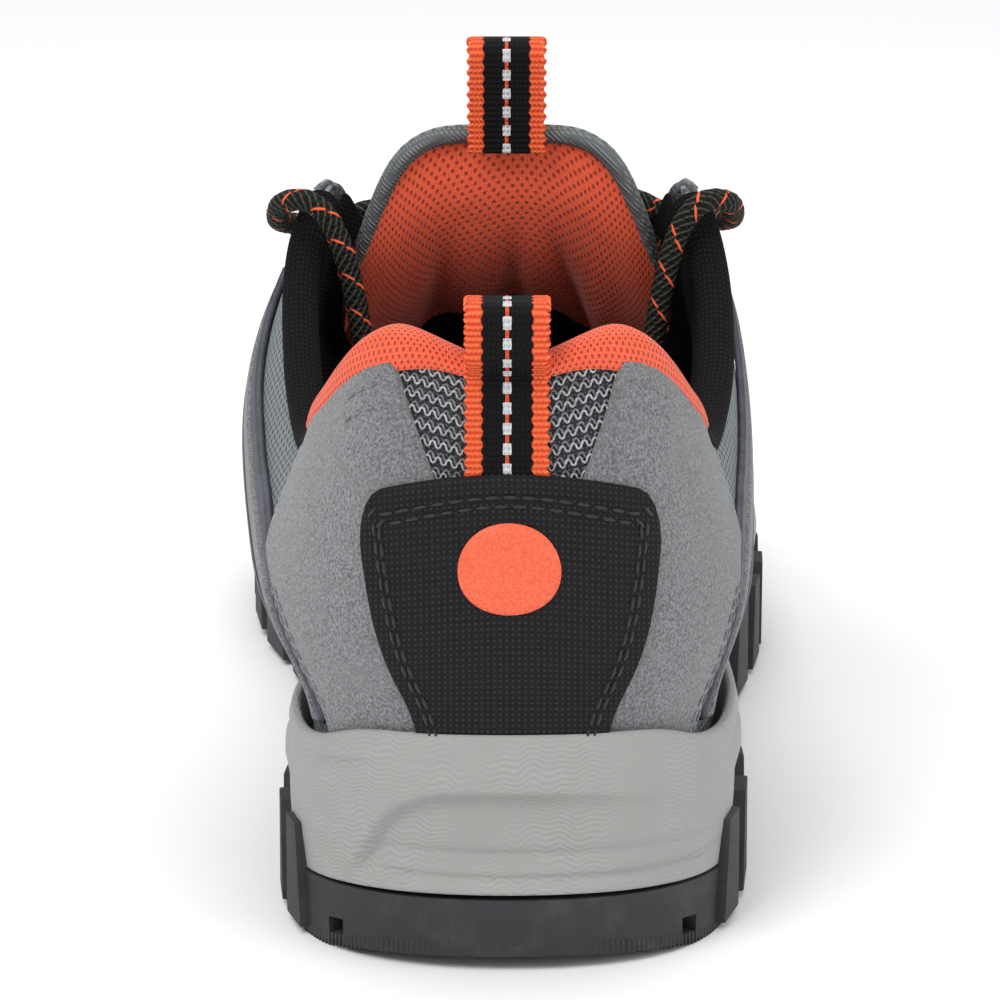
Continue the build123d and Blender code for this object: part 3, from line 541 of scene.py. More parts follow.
def diagonal(rib, drop=0.0):
    """Height along the rib of the line that climbs from the back of the sole to the top of the throat."""
    return np.maximum(CUP_SHARE + 0.02, height_at(rib, through(DIAGONAL, np.abs(rib)) - drop))


# ---------------------------------------------------------------- mesh building
def finished(name, mesh, finish, body, stands_for=()):
    """Link a finished mesh as a piece on its body."""
    piece = bpy.data.objects.new(name, mesh)
    bpy.context.scene.collection.objects.link(piece)
    for material in (finish if isinstance(finish, (list, tuple)) else [finish]):
        mesh.materials.append(material)
    if body:
        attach(piece, body)
    if stands_for:
        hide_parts(*stands_for)
    return piece


def distances(grid, axis):
    """Distance along a grid of points in one direction."""
    steps = np.linalg.norm(np.diff(grid, axis=axis), axis=-1)
    start = np.zeros_like(np.take(steps, [0], axis=axis))
    return np.concatenate([start, np.cumsum(steps, axis=axis)], axis=axis)


def closed_mesh(name, points, faces, places):
    """Mesh with outward faces and a UV map that holds a place on the surface for each corner."""
    mesh = bpy.data.meshes.new(name)
    mesh.from_pydata([tuple(p) for p in points], [], [tuple(f) for f in faces])
    layer = mesh.uv_layers.new(name="UVMap")
    layer.data.foreach_set("uv", np.concatenate([np.asarray(p, float).ravel() for p in places]))
    work = bmesh.new()
    work.from_mesh(mesh)
    bmesh.ops.remove_doubles(work, verts=work.verts, dist=1e-7)
    bmesh.ops.recalc_face_normals(work, faces=work.faces)
    if work.calc_volume(signed=True) < 0:
        bmesh.ops.reverse_faces(work, faces=work.faces)
    work.to_mesh(mesh)
    work.free()
    mesh.shade_smooth()
    return mesh


def grid_faces(rows, columns, measure, first=0, closed=False):
    """Quads over a grid of points and their places; closed joins the last column to the first."""
    count = columns if closed else columns - 1
    faces, places = [], []
    for j in range(rows - 1):
        for i in range(count):
            n = (i + 1) % columns
            faces.append([first + j * columns + i, first + j * columns + n, first + (j + 1) * columns + n,
                          first + (j + 1) * columns + i])
            places.append([measure[j][i], measure[j][i + 1], measure[j + 1][i + 1], measure[j + 1][i]])
    return faces, places


def surface_places(grid, around=False):
    """Places (across, along) of a grid of points, in metres, measured on its middle row and column."""
    line = np.concatenate([grid, grid[:, :1]], axis=1) if around else grid
    u = distances(line, 1)
    v = distances(line, 0)
    u = u - u[:, u.shape[1] // 2:u.shape[1] // 2 + 1]
    middle = v[:, v.shape[1] // 2]
    v = 0.5 * v + 0.5 * middle[:, None]
    return np.stack([u, v], axis=-1)


def solid_sheet(name, outer, inner):
    """Closed mesh of a sheet between two grids of points."""
    rows, columns = outer.shape[:2]
    measure = surface_places(outer)
    faces, places = grid_faces(rows, columns, measure)
    back, back_places = grid_faces(rows, columns, measure, first=rows * columns)
    faces += [f[::-1] for f in back]
    places += [p[::-1] for p in back_places]
    ring = ([(0, i) for i in range(columns)] + [(j, columns - 1) for j in range(1, rows)]
            + [(rows - 1, i) for i in range(columns - 2, -1, -1)] + [(j, 0) for j in range(rows - 2, 0, -1)])
    for (j, i), (n, m) in zip(ring, ring[1:] + ring[:1]):
        a, b = j * columns + i, n * columns + m
        faces.append([a, rows * columns + a, rows * columns + b, b])
        places.append([measure[j][i], measure[j][i], measure[n][m], measure[n][m]])
    points = np.concatenate([outer.reshape(-1, 3), inner.reshape(-1, 3)])
    return closed_mesh(name, points, faces, places)


def spaced(count, rim):
    """Shares from 0 to 1, with one more just inside each end."""
    return np.concatenate([[0, rim], np.linspace(rim, 1 - rim, count)[1:-1], [1 - rim, 1]])


def value_at(limit, *place):
    return limit(*place) if callable(limit) else limit


def cloth(name, first, last, bottom, top, layer, finish, body="shoe", stands_for=(), rows=24, columns=60,
          rim=(0.02, 0.01), thin=0.5, relief=None):
    """Piece of the upper between two ribs and two heights, with rounded cut edges.

    layer is (inner, outer) in millimetres off the base cloth; thin is the share of it left at the edges.
    """
    up, over = spaced(rows, rim[0]), spaced(columns, rim[1])
    share = np.broadcast_to(up[:, None], (len(up), len(over)))
    start, end = (np.broadcast_to(np.asarray(value_at(limit, up), float), up.shape)[:, None]
                  for limit in (first, last))
    rib = start + (end - start) * over[None, :]
    low, high = value_at(bottom, rib), value_at(top, rib)
    height = low + (high - low) * share
    inner, outer = (value_at(depth, rib, share) for depth in layer)
    full = np.ones_like(rib)
    full[[0, -1], :] = thin
    full[:, [0, -1]] = thin
    outer = inner + (outer - inner) * full
    if relief is not None:
        outer = outer + relief(rib, height, share, np.broadcast_to(over[None, :], rib.shape)) * (full == 1)
    mesh = solid_sheet(name, form(rib, height, outer), form(rib, height, inner + 0 * rib))
    return finished(name, mesh, finish, body, stands_for)


def swept(name, path, section, finish, body, stands_for=(), around_places=None):
    """Closed mesh of a section swept along points; section(n) gives (sideways, outwards) pairs in metres."""
    path = np.asarray(path, float)
    tangent = np.gradient(path, axis=0)
    tangent /= np.linalg.norm(tangent, axis=1, keepdims=True)
    side = np.array([1.0, 0, 0]) if abs(tangent[0][0]) < 0.8 else np.array([0, 1.0, 0])
    rings = []
    for n, (point, along) in enumerate(zip(path, tangent)):
        side = side - along * np.dot(side, along)
        side /= np.linalg.norm(side)
        out = np.cross(along, side)
        pairs = np.asarray(section(n))
        rings.append(point + pairs[:, :1] * side + pairs[:, 1:] * out)
    rings = np.array(rings)
    rows, columns = rings.shape[:2]
    run = distances(path[:, None, :], 0)[:, 0]
    if around_places is None:
        around_places = np.concatenate([[0], np.cumsum(np.linalg.norm(
            np.roll(rings[rows // 2], -1, axis=0) - rings[rows // 2], axis=1))])
    measure = np.stack(np.broadcast_arrays(around_places[None, :], run[:, None]), axis=-1)
    faces, places = grid_faces(rows, columns, measure, closed=True)
    for row, order in ((0, 1), (rows - 1, -1)):
        cap = [row * columns + i for i in range(columns)][::order]
        faces.append(cap)
        places.append([measure[row][i] for i in range(columns)][::order])
    return finished(name, closed_mesh(name, rings.reshape(-1, 3), faces, places), finish, body, stands_for)


# ---------------------------------------------------------------- stitches and yarns, by Geometry Nodes
def node_tree(name, sizes):
    """Geometry Nodes tree with the named sizes and a material as its inputs."""
    tree = bpy.data.node_groups.new(name, "GeometryNodeTree")
    tree.interface.new_socket("Geometry", in_out="INPUT", socket_type="NodeSocketGeometry")
    for size in sizes:
        tree.interface.new_socket(size, in_out="INPUT", socket_type="NodeSocketFloat")
    tree.interface.new_socket("Material", in_out="INPUT", socket_type="NodeSocketMaterial")
    tree.interface.new_socket("Geometry", in_out="OUTPUT", socket_type="NodeSocketGeometry")
    return tree, tree.nodes.new("NodeGroupInput"), tree.nodes.new("NodeGroupOutput")


def linked(tree, kind, inputs, **settings):
    node = tree.nodes.new(kind)
    for name, value in settings.items():
        setattr(node, name, value)
    for name, value in inputs.items():
        if isinstance(value, bpy.types.NodeSocket):
            tree.links.new(value, node.inputs[name])
        else:
            node.inputs[name].default_value = value
    return node


def stitch_tree():
    """A row of rounded stitches along each line of a mesh."""
    tree, given, result = node_tree("stitch_rows", ("Stitch Length", "Gap", "Thickness"))
    g = given.outputs
    pitch = linked(tree, "ShaderNodeMath", {0: g["Stitch Length"], 1: g["Gap"]}, operation="ADD").outputs[0]
    line = linked(tree, "GeometryNodeMeshToCurve", {"Mesh": g["Geometry"]}).outputs[0]
    spots = linked(tree, "GeometryNodeResampleCurve", {"Curve": line, "Length": pitch},
                   mode="LENGTH").outputs[0]
    ball = linked(tree, "GeometryNodeMeshUVSphere", {"Segments": 8, "Rings": 6, "Radius": 1.0}).outputs[0]
    half = linked(tree, "ShaderNodeMath", {0: g["Stitch Length"], 1: 0.5}, operation="MULTIPLY").outputs[0]
    size = linked(tree, "ShaderNodeCombineXYZ",
                  {"X": g["Thickness"], "Y": g["Thickness"], "Z": half}).outputs[0]
    along = linked(tree, "GeometryNodeInputTangent", {}).outputs[0]
    turn = linked(tree, "FunctionNodeAlignRotationToVector", {"Vector": along}, axis="Z").outputs[0]
    placed = linked(tree, "GeometryNodeInstanceOnPoints",
                    {"Points": spots, "Instance": ball, "Rotation": turn, "Scale": size}).outputs[0]
    real = linked(tree, "GeometryNodeRealizeInstances", {"Geometry": placed}).outputs[0]
    smooth = linked(tree, "GeometryNodeSetShadeSmooth", {"Geometry": real}).outputs[0]
    dressed = linked(tree, "GeometryNodeSetMaterial",
                     {"Geometry": smooth, "Material": g["Material"]}).outputs[0]
    tree.links.new(dressed, result.inputs[0])
    return tree


def yarn_tree():
    """A round yarn along each line of a mesh, with its corners eased."""
    tree, given, result = node_tree("yarns", ("Thickness", "Corner Radius"))
    g = given.outputs
    line = linked(tree, "GeometryNodeMeshToCurve", {"Mesh": g["Geometry"]}).outputs[0]
    eased = linked(tree, "GeometryNodeFilletCurve", {"Curve": line, "Radius": g["Corner Radius"], "Count": 2},
                   mode="POLY").outputs[0]
    ring = linked(tree, "GeometryNodeCurvePrimitiveCircle",
                  {"Resolution": 6, "Radius": g["Thickness"]}).outputs[0]
    tube = linked(tree, "GeometryNodeCurveToMesh",
                  {"Curve": eased, "Profile Curve": ring, "Fill Caps": True}).outputs[0]
    real = linked(tree, "GeometryNodeRealizeInstances", {"Geometry": tube}).outputs[0]
    smooth = linked(tree, "GeometryNodeSetShadeSmooth", {"Geometry": real}).outputs[0]
    dressed = linked(tree, "GeometryNodeSetMaterial",
                     {"Geometry": smooth, "Material": g["Material"]}).outputs[0]
    tree.links.new(dressed, result.inputs[0])
    return tree


def along_lines(name, lines, tree, sizes, material, body):
    """Plain mesh that a tree makes along lines of points."""
    guide = bpy.data.meshes.new(name + "_guide")
    points, edges = [], []
    for line in lines:
        first = len(points)
        points += [tuple(p) for p in line]
        edges += [(first + n, first + n + 1) for n in range(len(line) - 1)]
    guide.from_pydata(points, edges, [])
    piece = bpy.data.objects.new(name, guide)
    bpy.context.scene.collection.objects.link(piece)
    modifier = piece.modifiers.new("rows", "NODES")
    modifier.node_group = tree
    for socket in tree.interface.items_tree:
        if socket.in_out == "INPUT" and socket.name in sizes:
            modifier[socket.identifier] = sizes[socket.name] * MM
        elif socket.in_out == "INPUT" and socket.name == "Material":
            modifier[socket.identifier] = material
    view = bpy.context.evaluated_depsgraph_get()
    mesh = bpy.data.meshes.new_from_object(piece.evaluated_get(view))
    piece.modifiers.remove(modifier)
    piece.data = mesh
    mesh.name = name
    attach(piece, body)
    return piece


# ---------------------------------------------------------------- the upper's cloth pieces
BASE_LAYER = (-1.5, 0.0)
OVERLAY_LAYER = (0.15, 1.5)
TRIM_LAYER = (1.7, 2.9)


def heel_overlay_top(rib):
    return through([(0, 0.69), (0.45, 0.74), (0.75, 0.86), (1.0, 0.975), (3.7, 0.975)], np.abs(rib))


def heel_overlay_front(share):
    return through([(0, 1.78), (0.07, 1.95), (0.3, 2.3), (0.48, 2.47), (0.6, 2.76), (0.67, 3.0), (1, 2.9)],
                   share)


def patch_half(share):
    """Half width of the heel patch in ribs, with its top corners rounded."""
    corner = np.clip((share - 0.86) / 0.14, 0, 1)
    return 0.8 + 0.46 * share - 0.26 * (1 - np.sqrt(np.clip(1 - corner**2, 0, 1)))


def patch_top(rib):
    return height_at(rib, 86.3 - 3.4 * np.asarray(rib)**2)


def soft_waves(seed, reach, size):
    """Relief of gentle hollows and swellings, in millimetres, the same each time."""
    draw = np.random.default_rng(seed)
    waves = [(draw.uniform(0.6, 1.6), draw.uniform(0, 2 * math.pi), draw.uniform(0, 2 * math.pi))
             for _ in range(7)]

    def relief(rib, height, share, across):
        total = np.zeros_like(rib)
        for pitch, turn, phase in waves:
            place = (rib * 14 * math.cos(turn) + height * 70 * math.sin(turn)) / (size * pitch)
            total = total + np.sin(2 * math.pi * place + phase)
        return reach * total / 3
    return relief


def make_cloth_pieces(finishes):
    suede, mesh, film = finishes["suede"], finishes["side_mesh"], finishes["film"]
    cloth("heel_mesh", -1.6, 1.6, 0.02, 0.99, BASE_LAYER, finishes["chain_ground"],
          stands_for=["heel_mesh_panel"], rows=30, columns=60)
    cloth("heel_patch_cloth", lambda share: -patch_half(share), patch_half, 0.125, patch_top, TRIM_LAYER,
          finishes["patch"], stands_for=["heel_patch"], rows=44, columns=70, rim=(0.008, 0.008),
          relief=soft_waves(3, 0.05, 25))
    for name, side in (("lateral", 1), ("medial", -1)):
        def piece(part, first, last, bottom, top, layer, finish, stands_for=None, **sizes):
            limits = [(lambda s, f=limit: side * f(s)) if callable(limit) else side * limit
                      for limit in (first, last)]
            cloth(f"{part}_{name}", *limits[::side], bottom, top, layer, finish,
                  stands_for=[f"{stands_for or part}_{name}"], **sizes)

        piece("heel_overlay", 0.02, heel_overlay_front, 0.05, heel_overlay_top, OVERLAY_LAYER, suede,
              rows=40, columns=90, rim=(0.012, 0.008), relief=soft_waves(5, 0.16, 30))
        piece("quarter_mesh", 1.66, 5.48, 0.02, 0.985, BASE_LAYER, mesh, rows=40, columns=70,
              relief=soft_waves(8, 0.22, 34))
        piece("diagonal_strip", 2.2, 5.32, lambda rib: diagonal(rib, 3.6), lambda rib: diagonal(rib, 0.3),
              OVERLAY_LAYER, film, rows=5, columns=90, rim=(0.12, 0.01))
        piece("diagonal_suede", 2.3, 5.32, lambda rib: diagonal(rib, 8.0), lambda rib: diagonal(rib, 4.2),
              (0.15, 1.9), suede, rows=5, columns=90, rim=(0.12, 0.01))
        piece("diagonal_band", 2.38, 5.32, lambda rib: diagonal(rib, 12.6), lambda rib: diagonal(rib, 8.6),
              (0.15, 1.7), finishes["black_film"], rows=5, columns=90, rim=(0.12, 0.01))
        piece("midfoot_overlay", 4.4, 7.6, 0.06, lambda rib: 0.3 + 0.03 * (np.abs(rib) - 4.4), OVERLAY_LAYER,
              suede, rows=14, columns=60, relief=soft_waves(11, 0.1, 26))
    sides = [cloth(f"vamp_mesh_{n}", first, last, 0.02, 0.985, BASE_LAYER, finishes["vamp_mesh"], rows=40,
                   columns=70,
                   relief=soft_waves(13, 0.15, 30))
             for n, (first, last) in enumerate(((5.56, 8.88), (-8.88, -5.56), (8.9, 11.985),
                                                (-11.985, -8.9)))]
    for part in sides[:2]:
        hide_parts("vamp_mesh")
    cloth("mudguard_suede", 7.75, 16.25, 0.06, 0.36, OVERLAY_LAYER, suede, stands_for=["mudguard"],
          rows=16, columns=150, rim=(0.03, 0.004), relief=soft_waves(17, 0.12, 30))
    cloth("toe_bumper_rubber", 10.1, 13.9, 0.15, 0.5, TRIM_LAYER, finishes["bumper"],
          stands_for=["toe_bumper"],
          rows=24, columns=90, rim=(0.05, 0.01), thin=0.3, relief=bumper_ribs)


def bumper_ribs(rib, height, share, across):
    """Raised bars across the toe bumper."""
    fade = np.clip(np.minimum(share, 1 - share) / 0.25, 0,
                   1) * np.clip(np.minimum(across, 1 - across) / 0.08, 0, 1)
    return 0.45 * fade * (np.sin(rib * 2 * math.pi * 3.2) > -0.2)


def make_badge(finish):
    """Plain round badge on the heel patch, with a fine raised ring."""
    rings = [(0.0, 0.62), (0.3, 0.62), (0.6, 0.6), (0.74, 0.6), (0.78, 0.78), (0.86, 0.78), (0.9, 0.58),
             (0.98, 0.5),
             (1.0, 0.3), (1.0, 0.06)]
    middle = float(height_at(np.array(0.0), 70.0))
    step = 0.01
    per_rib = np.linalg.norm(form(step, middle) - form(0.0, middle)) / step
    per_height = np.linalg.norm(form(0.0, middle + step) - form(0.0, middle)) / step
    count = 72
    turn = np.linspace(0, 2 * math.pi, count, endpoint=False)
    rows = []
    for share, rise in rings:
        radius = 7.9 * MM * max(share, 0.002)
        rib, height = radius * np.cos(turn) / per_rib, middle + radius * np.sin(turn) / per_height
        rows.append(form(rib, height, TRIM_LAYER[1] + rise))
    rows.append(form(0.002 * np.cos(turn), middle + 0.0002 * np.sin(turn), TRIM_LAYER[1] + 0.06))
    grid = np.array(rows)
    measure = surface_places(grid, around=True)
    faces, places = grid_faces(len(rows), count, measure, closed=True)
    piece = finished("heel_badge_disc", closed_mesh("heel_badge_disc", grid.reshape(-1, 3), faces, places),
                     finish,
                     "shoe", ["heel_badge"])
    close_small_holes(piece)


def close_small_holes(piece):
    work = bmesh.new()
    work.from_mesh(piece.data)
    edges = [edge for edge in work.edges if len(edge.link_faces) == 1]
    if edges:
        bmesh.ops.holes_fill(work, edges=edges, sides=0)
    bmesh.ops.recalc_face_normals(work, faces=work.faces)
    if work.calc_volume(signed=True) < 0:
        bmesh.ops.reverse_faces(work, faces=work.faces)
    work.to_mesh(piece.data)
    work.free()


# ---------------------------------------------------------------- rolled collar and eyestays
def pad_thickness(rib, share):
    """Padding that swells below the rolled top edge and thins towards the throat."""
    fullness = through([(0, 9.5), (2, 9), (3.4, 7.5), (4.4, 5), (5.2, 3.2)], np.abs(rib))
    return np.maximum(1.9, fullness
                      * np.maximum(0.22, np.sin(math.pi * np.minimum(1.0, 0.2 + 0.78 * share)) ** 0.8))


def rolled_collar(name, first, last, outside, finish, stands_for, columns, seed):
    """Padded lining that comes up inside the collar, rolls over its edge and ends on the outside."""
    rib = np.linspace(first, last, columns)
    start = np.asarray(outside(rib))
    rows = []
    for share in np.linspace(0, 1, 15):
        rows.append((start + (0.985 - start) * share,
                     0.35 + 1.5 * math.sin(math.pi * min(1, 0.12 + 0.5 * share)) + 0 * rib))
    for angle in np.linspace(12, 168, 14):
        turn = math.radians(angle)
        rows.append((0.985 + 0.036 * math.sin(turn) + 0 * rib, -1.55 + 3.45 * math.cos(turn) + 0 * rib))
    for share in np.linspace(0.985, 0, 34):
        height = 0.62 + 0.365 * share
        rows.append((height + 0 * rib, -3.15 - pad_thickness(rib, share) + 0 * rib))
    heights, offsets = np.array([r[0] for r in rows]), np.array([r[1] for r in rows])
    swell = soft_waves(seed, 0.35, 26)(np.broadcast_to(rib, heights.shape), heights, 0, 0)
    inside = np.clip((np.arange(len(rows)) - 20) / 10, 0, 1)[:, None]
    offsets = offsets - swell * inside
    up, over = np.gradient(heights, axis=0) * 70, np.gradient(offsets, axis=0)
    length = np.sqrt(up**2 + over**2)
    thick = np.full(len(rows), 0.8)
    thick[[0, -1]] = 0.3
    back_heights = heights - over / length * thick[:, None] / 70 * -1
    back_offsets = offsets - up / length * thick[:, None]
    outer, inner = form(rib, heights, offsets), form(rib, back_heights, back_offsets)
    piece = finished(name, solid_sheet(name, outer, inner), finish, "shoe", stands_for)
    return piece


def make_collar(finishes):
    def heel_edge(rib):
        return through([(0, 0.972), (0.5, 0.955), (1.0, 0.925), (1.7, 0.94), (2.5, 0.955)], np.abs(rib))

    def side_edge(rib):
        return through([(2.3, 0.95), (3.4, 0.93), (4.4, 0.94), (5.3, 0.96)], np.abs(rib))

    rolled_collar("collar_lining_orange", -2.42, 2.42, heel_edge, finishes["collar_orange"],
                  ["collar_lining_heel", "collar_foam"], 150, 21)
    for name, side in (("lateral", 1), ("medial", -1)):
        rolled_collar(f"collar_lining_black_{name}", *sorted((side * 2.4, side * 5.3)), side_edge,
                      finishes["black_knit"], [f"collar_lining_{name}"], 90, 22 + side)


def make_eyestay(name, side, finish):
    """Suede band along the throat's edge, with a hole at its top for the lace."""
    centre_rib, centre_height = side * EYELET_RIB, EYELET_HEIGHT
    middle = form(np.array(centre_rib), np.array(centre_height))
    piece = cloth(f"eyestay_{name}", *sorted((side * 5.45, side * 8.75)), 0.81, 0.985, OVERLAY_LAYER, finish,
                  stands_for=[f"eyestay_{name}"], rows=14, columns=110, rim=(0.06, 0.006))
    out = form(np.array(centre_rib), np.array(centre_height), 1.0) - middle
    cut_round_hole(piece, middle, out, (EYELET_RADIUS + 0.3) * MM)
    return middle, out / np.linalg.norm(out)


def cut_round_hole(piece, middle, out, radius):
    """Cut a round hole straight through a piece."""
    bpy.ops.mesh.primitive_cylinder_add(vertices=48, radius=radius, depth=0.02, location=tuple(middle))
    tool = bpy.context.object
    tool.rotation_euler = Vector(out).to_track_quat("Z", "Y").to_euler()
    modifier = piece.modifiers.new("hole", "BOOLEAN")
    modifier.operation, modifier.object, modifier.solver = "DIFFERENCE", tool, "EXACT"
    view = bpy.context.evaluated_depsgraph_get()
    mesh = bpy.data.meshes.new_from_object(piece.evaluated_get(view))
    piece.modifiers.remove(modifier)
    mesh.name = piece.name
    piece.data = mesh
    bpy.data.objects.remove(tool)


def lathe(name, profile, middle, out, finish, body, stands_for=(), count=48):
    """Ring of a profile of (radius, along) pairs in millimetres turned round an axis."""
    out = Vector(out).normalized()
    side = out.orthogonal().normalized()
    across = out.cross(side)
    turn = np.linspace(0, 2 * math.pi, count, endpoint=False)
    grid = np.array([[Vector(middle) + (side * math.cos(t) + across * math.sin(t)) * (r * MM) + out * (a * MM)
                      for t in turn] for r, a in profile + profile[:1]])
    measure = surface_places(grid, around=True)
    faces, places = grid_faces(len(grid), count, measure, closed=True)
    return finished(name, closed_mesh(name, grid.reshape(-1, 3), faces, places), finish, body, stands_for)


def make_eyelets(finishes):
    base = OVERLAY_LAYER[1]
    profile = [(2.45, base - 2.2), (2.45, base + 0.3), (2.7, base + 0.75), (3.3, base + 0.95),
               (4.2, base + 0.8),
               (4.75, base + 0.35), (4.85, base + 0.05), (3.1, base + 0.05), (2.85, base - 2.2)]
    for name, side in (("lateral", 1), ("medial", -1)):
        middle, out = make_eyestay(name, side, finishes["suede"])
        lathe(f"eyelet_ring_{name}", profile, middle, out, finishes["eyelet"], "shoe", [f"eyelet_{name}"])


# ---------------------------------------------------------------- tongue
def tongue_point(across, share, depth):
    """Points of the tongue: across from -1 to 1, share up to the tip, depth behind its front."""
    across, share, depth = np.broadcast_arrays(*(np.asarray(v, float) for v in (across, share, depth)))
    inside = np.clip(share, 0, 1)
    line = through(TONGUE_LINE, inside)
    ahead = through(TONGUE_LINE, np.minimum(inside + 0.01, 1)) - through(TONGUE_LINE,
                                                                         np.maximum(inside - 0.01, 0))
    ahead /= np.linalg.norm(ahead, axis=-1, keepdims=True)
    size = through(TONGUE_SIZE, inside)
    curve = np.abs(across) ** 3.2
    angle = math.radians(40) * across * np.abs(across)
    inwards = depth * np.cos(angle)
    beyond = (share - inside) * 110
    station = line[..., 0] - size[..., 2] * curve - inwards * ahead[..., 1] + beyond * ahead[..., 0]
    z = line[..., 1] - size[..., 1] * curve + inwards * ahead[..., 0] + beyond * ahead[..., 1]
    return in_metres(np.stack([size[..., 0] * across - depth * np.sin(angle), station, z], axis=-1))


TONGUE_SPREAD = 1.03


def tongue_tip(across):
    """Share at which the tongue ends: a rounded tip."""
    side = np.abs(across)
    return 0.995 + 0.008 * np.exp(-((side - 0.5) / 0.2) ** 2) - 0.2 * np.clip((side - 0.6) / 0.4, 0, 1) ** 2.6


def tongue_shape(name, low, high, front, rear, half, finish, stands_for=(), rows=60, columns=70, puff=None):
    """Sheet or pad of the tongue between two depths; low and high are shares that may follow across."""
    up, over = spaced(rows, 0.012), 2 * spaced(columns, 0.012) - 1
    across = np.broadcast_to(over[None, :], (len(up), len(over)))
    start, end = value_at(low, across), value_at(high, across)
    share = start + (end - start) * up[:, None]
    thick = through(TONGUE_SIZE, np.clip(share, 0, 1))[..., 3]
    edge = np.ones_like(share)
    edge[[0, -1], :] = 0.5
    edge[:, [0, -1]] = 0.5
    faces = []
    for level, sign in ((front, -1), (rear, 1)):
        middle = (front + rear) / 2
        depth = thick * (middle + (level - middle) * edge)
        if puff is not None and sign > 0:
            place = up[:, None] + 0 * share
            taper = (1 - 0.5 * np.abs(across) ** 6) * (1 - 0.55 * np.clip((place - 0.72) / 0.28, 0, 1) ** 2)
            depth = thick * front + (depth - thick * front + puff(across, share, place) * (edge == 1)) * taper
        faces.append(tongue_point(half * across, share, depth))
    return finished(name, solid_sheet(name, faces[0], faces[1]), finish, "tongue", stands_for)


def tongue_lobes(across):
    """Lower edge of the tongue's padded back: a lobe at each side and a rise between them."""
    rise = 0.05 * np.exp(-((across - 0.1) / 0.3) ** 2)
    return 0.59 + rise - 0.035 * np.exp(-((across + 0.72) / 0.2) ** 2) - 0.05 * np.exp(-((across
            - 0.62) / 0.24) ** 2)


def tongue_folds(across, share, place):
    """Swelling and folds of the padded back, in millimetres."""
    body = np.sin(math.pi * np.clip(place, 0, 1)) ** 0.5 * (1 - np.abs(across) ** 8)
    below = np.clip((0.86 - share) / 0.16, 0, 1)
    folds = 0.0
    for x, lean, width, deep in ((-0.46, 0.5, 0.09, -1.5), (-0.22, 0.2, 0.13, 1.3), (0.04, 0.0, 0.07, -1.8),
                                 (0.2, -0.5, 0.12, 1.4), (0.43, -1.1, 0.07, -1.9), (0.68, -0.8, 0.16, 1.2)):
        place_across = across - x - lean * (share - 0.7)
        folds = folds + deep * np.exp(-(place_across / width) ** 2)
    return 2.6 * body + folds * below * np.clip(place / 0.03, 0, 1)


def make_tongue(finishes):
    tongue_shape("tongue_front_mesh", 0.03, tongue_tip, 0.0, 0.3, TONGUE_SPREAD, finishes["tongue_mesh"],
                 ["tongue_face", "tongue_foam"])
    tongue_shape("tongue_lower_lining", 0.04, 0.66, 0.6, 0.85, 0.97, finishes["lining"])
    back = tongue_shape("tongue_padded_back", tongue_lobes, lambda across: tongue_tip(across) - 0.008, 0.3,
                        0.98, 1.12,
                        finishes["orange_knit"], ["tongue_lining"], rows=110, columns=130, puff=tongue_folds)
    across = np.linspace(-1, 1, 90)
    border = [tongue_point(TONGUE_SPREAD * a, float(tongue_tip(a)), 3.2) for a in across]
    for side in (-1, 1):
        down = [tongue_point(side * TONGUE_SPREAD, s, 3.2) for s in np.linspace(0.815, 0.58, 26)]
        border = border + down if side > 0 else down[::-1] + border
    border = evened(np.array(border), 0.9 * MM)
    ring = [(1.6 * MM * math.cos(t), 2.3 * MM * math.sin(t))
            for t in np.linspace(0, 2 * math.pi, 14, endpoint=False)]
    swept("tongue_binding", np.array(border), lambda n: ring, finishes["binding"], "tongue")


# ---------------------------------------------------------------- pull loops
def strap_section(width, thick, scallop):
    """Flat section across X with rounded, scalloped edges."""
    half, deep = width / 2 + scallop, thick / 2
    top = [(x, deep) for x in np.linspace(-half + deep, half - deep, 15)]
    right = [(half - deep + deep * math.sin(t), deep * math.cos(t))
             for t in np.radians([30, 60, 90, 120, 150])]
    bottom = [(x, -deep) for x in np.linspace(half - deep, -half + deep, 15)]
    left = [(-half + deep - deep * math.sin(t), -deep * math.cos(t))
            for t in np.radians([30, 60, 90, 120, 150])]
    return np.array(top + right + bottom + left) * MM


def rounded_path(points, radius, step=0.5):
    """Points along straight runs of (station, height) with arcs at the corners."""
    points = [np.array(p, float) for p in points]
    line = [points[0]]
    for a, b, c in zip(points, points[1:], points[2:]):
        back, on = (a - b) / np.linalg.norm(a - b), (c - b) / np.linalg.norm(c - b)
        half = math.acos(float(np.clip(np.dot(back, on), -1, 1))) / 2
        cut = radius / math.tan(half)
        centre = b + (back + on) / np.linalg.norm(back + on) * radius / math.sin(half)
        first, last = b + back * cut - centre, b + on * cut - centre
        for t in np.linspace(0, 1, 9):
            ray = first + (last - first) * t
            line.append(centre + ray / np.linalg.norm(ray) * radius)
    line.append(points[-1])
    line = np.array(line)
    run = np.concatenate([[0], np.cumsum(np.linalg.norm(np.diff(line, axis=0), axis=1))])
    places = np.arange(0, run[-1], step)
    return np.stack([np.interp(places, run, line[:, n]) for n in range(2)], axis=1)


def webbing(name, path, finish, body, stands_for=()):
    """Woven strap along (station, height) points, with small scallops along both edges."""
    points = in_metres(np.column_stack([0 * path[:, 0], path]))
    across = np.concatenate([np.linspace(-7, 7, 15), [7.2, 7.4, 7.5, 7.4, 7.2], np.linspace(7, -7, 15),
                             [-7.2, -7.4, -7.5, -7.4, -7.2], [-7]]) * MM

    def section(n):
        return strap_section(WEBBING_WIDTH, 1.5, 0.32 * math.sin(2 * math.pi * n * 0.5 / 2.05))

    return swept(name, points, section, finish, body, stands_for, around_places=across)


